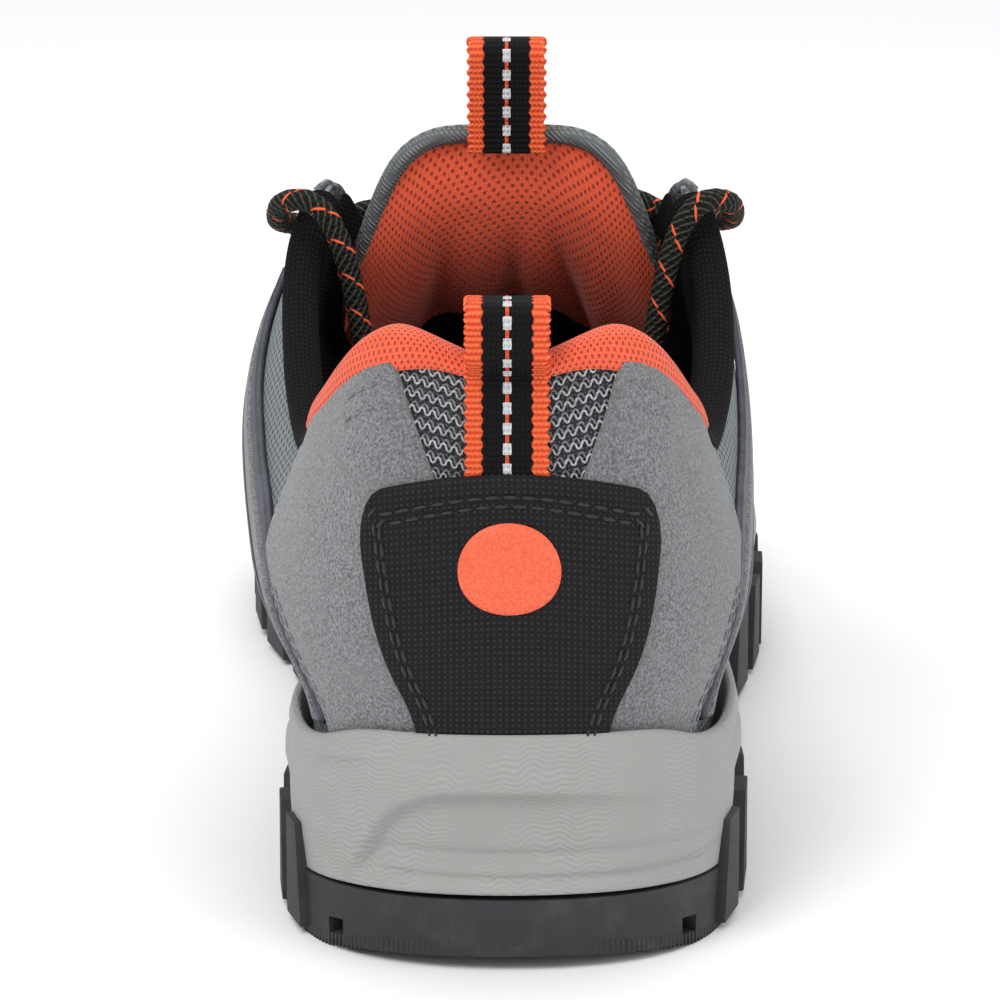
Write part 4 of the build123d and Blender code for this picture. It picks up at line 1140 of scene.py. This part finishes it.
def make_pull_loops(finishes):
    outside = []
    for z in np.linspace(79.5, 103.0, 26):
        point = form(np.array(0.0), height_at(np.array(0.0), z), 1.35) / MM
        outside.append((point[1] + SOLE_LENGTH / 2, point[2]))
    legs = [(2.9, 106.5), (2.9, 114.9), (12.1, 114.9), (12.1, 104.5)]
    path = rounded_path(outside[::5] + legs, 2.2)
    strap = webbing("heel_pull_webbing", path, finishes["webbing"], None,
                    ["heel_pull_strap", "heel_pull_loop"])
    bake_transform(strap)
    path = rounded_path([(109.9, 119.0), (109.9, 138.8), (117.1, 138.8), (117.1, 119.0)], 2.6)
    strap = webbing("tongue_pull_webbing", path, finishes["webbing"], None, ["tongue_pull_loop"])
    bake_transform(strap)


# ---------------------------------------------------------------- lace
def smooth_route(points):
    """Points along the smooth curve that a cord takes through its route, in metres."""
    curve = bpy.data.curves.new("route", "CURVE")
    curve.dimensions = "3D"
    curve.resolution_u = 10
    spline = curve.splines.new("NURBS")
    route = in_metres(points)
    spline.points.add(len(route) - 1)
    for slot, point in zip(spline.points, route):
        slot.co = (*point, 1)
    spline.order_u = 3
    spline.use_endpoint_u = True
    holder = bpy.data.objects.new("route", curve)
    bpy.context.scene.collection.objects.link(holder)
    view = bpy.context.evaluated_depsgraph_get()
    mesh = bpy.data.meshes.new_from_object(holder.evaluated_get(view))
    line = np.array([v.co for v in mesh.vertices])
    bpy.data.objects.remove(holder)
    bpy.data.meshes.remove(mesh)
    return line


def evened(line, step):
    """The same line in equal steps."""
    run = np.concatenate([[0], np.cumsum(np.linalg.norm(np.diff(line, axis=0), axis=1))])
    count = max(2, round(run[-1] / step))
    places = np.linspace(0, run[-1], count + 1)
    return np.stack([np.interp(places, run, line[:, n]) for n in range(3)], axis=1)


def round_cord(name, line, radius, finish, stands_for, body="shoe"):
    """Round braided cord along a line, in metres, with small lumps where strands cross."""
    count = 20
    turn = np.linspace(0, 2 * math.pi, count, endpoint=False)
    around = np.linspace(0, 2 * math.pi * radius, count + 1)

    def section(n):
        lumps = radius * (0.965 + 0.035 * np.cos(4 * turn + (n % 4) * math.pi / 2))
        return np.stack([lumps * np.cos(turn), lumps * np.sin(turn)], axis=1)

    return swept(name, line, section, finish, body, stands_for, around_places=around)


def make_lace(finishes):
    laced = list(reversed(LACE_FROM_MEDIAL)) + [LACE_BOTTOM] + LACE_FROM_LATERAL
    round_cord("lace_between_sides", evened(smooth_route(laced), 0.8 * MM), LACE_DIAMETER / 2 * MM,
               finishes["lace"], ["lace_laced"])
    for name, route in (("lateral", LACE_END_LATERAL), ("medial", LACE_END_MEDIAL)):
        line = evened(smooth_route(route), 0.8 * MM)
        cord = round_cord(f"lace_free_end_{name}", line, LACE_DIAMETER / 2 * MM, finishes["lace"],
                          [f"lace_end_{name}"])


def make_lace_loops(finishes):
    """Folded webbing loops, sewn under the eyestay, that the lace runs through."""
    for name, side, near, far in (
        ("lateral", 1, LACE_FROM_LATERAL, LACE_FROM_MEDIAL),
        ("medial", -1, LACE_FROM_MEDIAL, LACE_FROM_LATERAL),
    ):
        for n, (start, end) in enumerate((near[0:2], far[3:5], near[6:8], far[9:11])):
            start, end = (np.array(in_metres(p)) for p in (start, end))
            centre, along = (start + end) / 2, (end - start) / np.linalg.norm(end - start)
            rib = side * throat_rib((start[1] + end[1]) / 2 / MM + SOLE_LENGTH / 2)
            foot = form(np.array(rib), np.array(0.885), 1.6)
            down = foot - centre
            down = down - along * np.dot(down, along)
            reach = np.linalg.norm(down) / MM
            down /= np.linalg.norm(down)
            across = np.cross(along, down)
            loop = [(3.0 * math.sin(t), 3.0 * math.cos(t)) for t in np.radians(np.linspace(-150, 150, 22))]
            legs = [(1.1, -max(4.2, reach * s)) for s in (1.0, 0.85, 0.7)]
            outline_points = [(-x, y) for x, y in legs] + loop + legs[::-1]
            path = np.array([centre + across * (x * MM) - down * (y * MM) for x, y in outline_points])
            section = [(w * 3.4 * MM, t * MM) for w,
                       t in ((-1, -0.2), (-0.97, -0.45), (0, -0.5), (0.97, -0.45), (1, -0.2),
                                                           (1, 0.2), (0.97, 0.45), (0, 0.5), (-0.97, 0.45),
                                                           (-1, 0.2))]
            ribbon(f"lace_loop_{name}_{n}", path, along, section, finishes["loop_webbing"],
                   [f"lace_loops_{name}"] if n == 0 else [])


def ribbon(name, path, side, section, finish, stands_for):
    """Flat strap along a path whose width keeps to one direction."""
    tangent = np.gradient(path, axis=0)
    tangent /= np.linalg.norm(tangent, axis=1, keepdims=True)
    rings = [p + w * side + t * np.cross(side, a) for p, a in zip(path, tangent) for w, t in section]
    count = len(section)
    grid = np.array(rings).reshape(len(path), count, 3)
    run = distances(path[:, None, :], 0)[:, 0]
    around = np.array([s[0] for s in section] + [section[0][0]])
    measure = np.stack(np.broadcast_arrays(around[None, :], run[:, None]), axis=-1)
    faces, places = grid_faces(len(path), count, measure, closed=True)
    for row, order in ((0, 1), (len(path) - 1, -1)):
        faces.append([row * count + i for i in range(count)][::order])
        places.append([measure[row][i] for i in range(count)][::order])
    return finished(name, closed_mesh(name, grid.reshape(-1, 3), faces, places), finish, "shoe", stands_for)


def throat_rib(station):
    """Rib whose upper end is at a station on the throat's edge."""
    places = np.linspace(5.56, 9.0, 400)
    return float(np.interp(-station, -through(TOPLINE, places)[:, 1], places))


# ---------------------------------------------------------------- sole unit
def arch_depth(x, z):
    """Depth of the moulded recess on the back of the midsole, in millimetres."""
    edge = through([(-30, 8), (-27.5, 12), (-25, 19), (-21, 26.5), (-15, 30.6), (-8, 31.8), (0, 32),
                    (12, 31.6), (24, 30),
                    (34, 27)], x)
    inside = np.clip((edge - z) / 2.4, 0, 1)
    smooth = inside * inside * (3 - 2 * inside)
    fade = np.clip((34 - x) / 30, 0, 1) * np.clip((x + 29.5) / 3, 0, 1)
    return 2.0 * smooth * fade * np.clip((z - 13.5) / 5, 0, 1)


def moulded(x, station, z):
    """Relief of the midsole's side, inwards in millimetres."""
    back = np.clip((26 - station) / 10, 0, 1)
    depth = arch_depth(x, z) * back
    for centre, width, deep in ((20.3, 0.8, 0.45), (16.0, 0.7, 0.7)):
        depth = depth + deep * np.exp(-((z - centre) / width) ** 2) * np.clip((x + 26) / 6, 0, 1) * back
    slant = through([(-37, 31.7), (-24.5, 34.6)], x)
    depth = depth + 0.7 * np.exp(-((z - slant) / 0.8) ** 2) * (x < -22) * np.clip((-21 - x) / 5, 0, 1) * back
    along = np.clip((station - 30) / 20, 0, 1) * np.clip((285 - station) / 30, 0, 1)
    sweep = 21 + 5.5 * np.sin(station / 295 * 2 * math.pi * 1.5 + 0.6)
    depth = depth + along * 1.3 * np.clip((sweep - z) / 2.2, 0, 1)
    depth = depth + along * 0.6 * np.exp(-((z - sweep - 5) / 0.9) ** 2)
    return depth


def make_midsole(finish):
    count = 420
    rib = np.linspace(-12, 12, count, endpoint=False)
    plan, _ = outline(rib, 0 * rib)
    base = through(OUTSOLE_TOP, plan[:, 1]) + 0.25
    edge = through(CUP_EDGE, plan[:, 1])
    inner_plan, _ = outline(rib, 3.2 + 0 * rib)
    floor = through(CUP_FLOOR, inner_plan[:, 1]) + 0.2

    def profile_inset(z):
        lip = np.clip((z - edge + 9) / 9, 0, 1)
        return through([(4, 1.6), (13, 0.9), (20, 0.35), (28, 0.3), (34, 0.6), (48, 1.6)], z) + 0.9 * lip**2

    bottom, _ = outline(rib, 2.6 + 0 * rib)
    rows = [(bottom, base)]
    for share in np.concatenate([[0.0, 0.012], np.linspace(0.03, 0.96, 62), [0.985]]):
        z = base + (edge - base) * share
        inset = profile_inset(z)
        where, _ = outline(rib, inset)
        inset = inset + moulded(where[:, 0], where[:, 1], z)
        if share < 0.005:
            inset = inset + 0.8
        where, _ = outline(rib, inset)
        rows.append((where, z))
    for inset, lift in ((2.3, 0.0), (2.7, -0.1), (3.05, -0.5)):
        where, _ = outline(rib, inset + 0 * rib)
        rows.append((where, edge + lift))
    rows.append((inner_plan, floor))
    grid = in_metres(np.array([np.column_stack([where, z]) for where, z in rows]))
    capped("midsole_foam", grid, finish, ["midsole"])


def capped(name, grid, finish, stands_for):
    """Closed piece from rings of points; both open ends are closed by a ladder of quads across them."""
    rows, count = grid.shape[:2]
    measure = surface_places(grid, around=True)
    faces, places = grid_faces(rows, count, measure, closed=True)
    for row, order in ((0, 1), (rows - 1, -1)):
        for i in range(count // 2 - 1):
            ladder = [i, i + 1, count - 2 - i, count - 1 - i][::order]
            if len(set(ladder)) < 4:
                continue
            faces.append([row * count + n for n in ladder])
            places.append([tuple(grid[row][n][:2]) for n in ladder])
    return finished(name, closed_mesh(name, grid.reshape(-1, 3), faces, places), finish, "shoe", stands_for)


def make_outsole(finish):
    """The tread, from the frame's own outsole with its moulded edges eased."""
    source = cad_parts["outsole"]
    work = bmesh.new()
    work.from_mesh(source.data)
    bmesh.ops.remove_doubles(work, verts=work.verts, dist=0.00002)
    bmesh.ops.dissolve_limit(work, angle_limit=math.radians(1.5), verts=work.verts, edges=work.edges)
    sharp = [edge for edge in work.edges
             if len(edge.link_faces) == 2 and edge.calc_face_angle() > math.radians(38)]
    bmesh.ops.bevel(work, geom=sharp, offset=0.4 * MM, segments=2, profile=0.6, affect="EDGES",
                    clamp_overlap=True)
    bmesh.ops.triangulate(work, faces=[face for face in work.faces if len(face.verts) > 4])
    mesh = bpy.data.meshes.new("outsole_rubber")
    work.to_mesh(mesh)
    work.free()
    mesh.shade_smooth()
    piece = finished("outsole_tread", mesh, finish, "shoe", ["outsole"])
    mesh.set_sharp_from_angle(angle=math.radians(34))
    return piece


def block_on_edge(rib, half_ribs, low, high, inner, outer, slant=0.0):
    """Corner points of a block on the sole's edge between two heights and two insets."""
    corners = []
    for z, squeeze in ((low, 1.0), (high, 0.72)):
        for along, inset in ((-1, inner), (1, inner), (1, outer), (-1, outer)):
            plan, _ = outline(np.array(rib + along * half_ribs * squeeze + slant * (z > low)),
                              np.array(inset))
            corners.append((plan[0], plan[1], z))
    return in_metres(corners)


SIDE_LUG_RISE, SIDE_LUG_OUT, SIDE_LUG_SLANT = 8.5, 0.9, 0.06
SIDE_LUG_ROUNDING, TOOTH_ROUNDING = 0.45, 0.12
BLOCK_FACES = [(0, 3, 2, 1), (4, 5, 6, 7), (0, 1, 5, 4), (1, 2, 6, 5), (2, 3, 7, 6), (3, 0, 4, 7)]


def make_lug_blocks(finish):
    """Lugs that climb the midsole's sides, and the fine teeth along the heel's lower edge."""
    groups = {"side_lugs": [], "heel_teeth": []}
    for side in (-1, 1):
        for rib, half in ([(r, 0.2) for r in (2.3, 2.95, 3.6, 4.25)]
                          + [(r, 0.22) for r in (6.4, 7.05, 7.7, 8.35, 9.0, 9.65, 10.3)]):
            plan, _ = outline(np.array(side * rib), np.array(0.0))
            ground, top = through(GROUND, plan[1]), through(OUTSOLE_TOP, plan[1])
            groups["side_lugs"].append(block_on_edge(side * rib, half, ground + 1.2, top + SIDE_LUG_RISE, 4.0,
                                                     -SIDE_LUG_OUT, SIDE_LUG_SLANT * side))
    for n in range(-44, 45):
        rib = n * 0.05
        plan, _ = outline(np.array(rib), np.array(0.0))
        ground = float(through(GROUND, plan[1]))
        groups["heel_teeth"].append(block_on_edge(rib, 0.017, ground + 1.5, ground - 0.75, 5.0, 0.75))
    for name, blocks in groups.items():
        work = bmesh.new()
        for corners in blocks:
            verts = [work.verts.new(tuple(point)) for point in corners]
            for face in BLOCK_FACES:
                work.faces.new([verts[i] for i in face])
        bmesh.ops.recalc_face_normals(work, faces=work.faces)
        rounding = SIDE_LUG_ROUNDING if name == "side_lugs" else TOOTH_ROUNDING
        bmesh.ops.bevel(work, geom=list(work.edges), offset=rounding * MM, segments=2, profile=0.7,
                        affect="EDGES", clamp_overlap=True)
        mesh = bpy.data.meshes.new(name)
        work.to_mesh(mesh)
        work.free()
        mesh.shade_smooth()
        mesh.set_sharp_from_angle(angle=math.radians(40))
        finished(name, mesh, finish, "shoe")


# ---------------------------------------------------------------- seams
def line_on(rib, height, offset):
    """Seam along points of the upper."""
    return form(np.asarray(rib, float), np.asarray(height, float),
                np.asarray(offset, float) + 0 * np.asarray(rib, float))


def make_seams(finishes):
    tree = stitch_tree()
    sizes = {"Stitch Length": 2.3, "Gap": 0.75, "Thickness": 0.28}
    black, grey = finishes["black_thread"], finishes["grey_thread"]
    share = np.linspace(0, 1, 120)
    rows = []
    for inset in (0.135, 0.19):
        def half(s):
            return patch_half(s * 0.86) - inset
        left = [(-float(half(s)), 0.125 + (float(patch_top(np.array(-half(s)))) - 0.125) * s
                 * (1 - 0.35 * inset)) for s in share]
        top = [(x, float(patch_top(np.array(x))) - 0.27 * inset)
               for x in np.linspace(left[-1][0], -left[-1][0], 60)]
        right = [(-x, h) for x, h in left[::-1]]
        places = np.array(left + top[1:-1] + right)
        rows.append(line_on(places[:, 0], places[:, 1], TRIM_LAYER[1] + 0.12))
    along_lines("heel_patch_stitches", rows, tree, sizes, black, "shoe")
    for name, side in (("lateral", 1), ("medial", -1)):
        lines = []
        for inset in (0.02, 0.055):
            rib = np.linspace(0.5, 1.35, 80)
            height = heel_overlay_top(rib) - inset * 1.1
            lines.append(line_on(side * (rib + inset * 0.9), np.minimum(height, 0.93 - inset),
                                 OVERLAY_LAYER[1] + 0.1))
        for inset in (0.06, 0.14):
            s = np.linspace(0.04, 0.56, 100)
            rib = heel_overlay_front(s) - inset
            height = 0.05 + (0.925 * s)
            lines.append(line_on(side * rib, height, OVERLAY_LAYER[1] + 0.12))
        for inset in (0.02, 0.155):
            rib = np.linspace(5.5, 8.7, 160)
            lines.append(line_on(side * rib, 0.81 + inset + 0 * rib, OVERLAY_LAYER[1] + 0.1))
        rib = np.linspace(4.46, 7.5, 140)
        lines.append(line_on(side * rib, 0.285 + 0.03 * (rib - 4.4), OVERLAY_LAYER[1] + 0.1))
        along_lines(f"suede_stitches_{name}", lines, tree, sizes, grey, "shoe")
    rib = np.linspace(7.85, 16.15, 400)
    along_lines("mudguard_stitches", [line_on(rib, 0.345 + 0 * rib, OVERLAY_LAYER[1] + 0.1),
                                      line_on(rib, 0.328 + 0 * rib, OVERLAY_LAYER[1] + 0.1)], tree, sizes,
                                      grey, "shoe")


def make_chain_yarns(finishes):
    """Zigzag chain yarns of the heel tab, each row with a darker, lower copy of it beside it as painted
    shadow.
    """
    tree = yarn_tree()
    lines, shadows = [], []
    rows, low, high = 15, 0.66, 1.0
    for n in range(rows):
        middle = low + (high - low) * (n + 0.5) / rows
        # The second layer is painted shadow: a darker copy of each row, shifted half a step and set closer to
        # the cloth.
        for layer, shift in ((lines, 0.0), (shadows, 0.5)):
            places = []
            for k in range(-40, 41):
                rib = (k + shift + (n % 2)) * 0.042
                rise = 0.0115 if k % 2 else -0.0115
                places.append((rib, middle + rise))
            places = np.array([p for p in places if abs(p[0]) < chain_half(p[1]) and p[1] < 0.985])
            if len(places) > 2:
                depth = 0.5 if layer is lines else 0.22
                layer.append(line_on(places[:, 0], places[:, 1] + (0 if layer is lines else 0.006), depth))
    along_lines("chain_yarns", lines, tree, {"Thickness": 0.2, "Corner Radius": 0.35},
                finishes["silver_yarn"], "shoe")
    # Painted shadow of the chain yarns, in a darker copy of the silver yarn.
    along_lines("chain_yarn_painted_shadows", shadows, tree, {"Thickness": 0.22, "Corner Radius": 0.35},
                finishes["painted_shadow_yarn"], "shoe")


def chain_half(height):
    """Half width of the heel tab's visible mesh, in ribs, at a height along the rib."""
    return float(through([(0.6, 0.2), (0.69, 0.46), (0.74, 0.62), (0.86, 0.86), (0.975, 1.06), (1.05, 1.1)],
                         np.array(height)))


# ---------------------------------------------------------------- everything
def main():
    make_stage()
    finishes = {
        "suede": suede_finish(), "orange_knit": orange_knit_finish("orange_knit", 1.75),
        "collar_orange": orange_knit_finish("collar_orange", 1.15), "black_knit": black_knit_finish(),
        "side_mesh": side_mesh_finish("side_mesh", linear(112, 121, 124), linear(58, 63, 66)),
        "vamp_mesh": side_mesh_finish("vamp_mesh", linear(104, 112, 115), linear(50, 54, 57)),
        "tongue_mesh": side_mesh_finish("tongue_mesh", linear(118, 123, 125), linear(66, 70, 72)),
        "patch": patch_finish(), "chain_ground": chain_ground_finish(), "webbing": webbing_finish(),
        "lace": lace_finish(), "foam": foam_finish(),
        "rubber": rubber_finish("outsole_rubber", linear(46, 46, 50), 0.25),
        "bumper": rubber_finish("bumper_rubber", linear(40, 40, 44), 0.1),
        "film": film_finish("dark_film", linear(58, 59, 70)),
        "black_film": film_finish("black_film", linear(24, 25, 26)),
        "badge": speckled_finish("badge_print", ORANGE, 0.4, 0.55, 0.05),
        "eyelet": speckled_finish("eyelet_metal", linear(70, 72, 76), 0.3, 0.4, 0.03),
        "lining": plain_weave_finish("dark_lining", linear(40, 40, 44), 1.1),
        "binding": plain_weave_finish("binding_knit", linear(122, 126, 128), 1.0),
        "loop_webbing": plain_weave_finish("loop_webbing", linear(40, 41, 45), 0.9),
        "black_thread": yarn_finish("black_thread", linear(16, 16, 18)),
        "grey_thread": yarn_finish("grey_thread", linear(116, 118, 121)),
        "silver_yarn": yarn_finish("silver_yarn", linear(168, 171, 174)),
        # Darker copy of the silver yarn, used only for the painted shadow of the chain yarns.
        "painted_shadow_yarn": yarn_finish("painted_shadow_yarn", linear(112, 115, 119)),
    }
    make_cloth_pieces(finishes)
    make_badge(finishes["badge"])
    make_collar(finishes)
    make_eyelets(finishes)
    make_tongue(finishes)
    make_pull_loops(finishes)
    make_lace(finishes)
    make_lace_loops(finishes)
    make_midsole(finishes["foam"])
    make_outsole(finishes["rubber"])
    make_lug_blocks(finishes["rubber"])
    make_seams(finishes)
    make_chain_yarns(finishes)
    kept = {
        "shank": speckled_finish("shank_plastic", linear(58, 60, 64), 0.8, 0.45),
        "lasting_board": speckled_finish("board", linear(150, 140, 122), 1.2, 0.9),
        "footbed_foam": speckled_finish("footbed_foam", linear(92, 94, 98), 0.7, 0.9),
        "footbed_cloth": plain_weave_finish("footbed_cloth", linear(52, 54, 58), 1.2),
        "heel_counter": speckled_finish("stiffener", linear(170, 165, 150), 1.0, 0.7),
        "heel_lining": finishes["lining"], "quarter_lining_lateral": finishes["lining"],
        "quarter_lining_medial": finishes["lining"], "vamp_lining_lateral": finishes["lining"],
        "vamp_lining_medial": finishes["lining"], "toe_lining": finishes["lining"],
        "tongue_lace_keeper": finishes["loop_webbing"],
        "aglet_lateral": film_finish("aglet_film", linear(30, 30, 30)),
    }
    kept["toe_puff"], kept["aglet_medial"] = kept["heel_counter"], kept["aglet_lateral"]
    for name, material in kept.items():
        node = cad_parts[name]
        for slot in node.material_slots:
            slot.material = material


main()
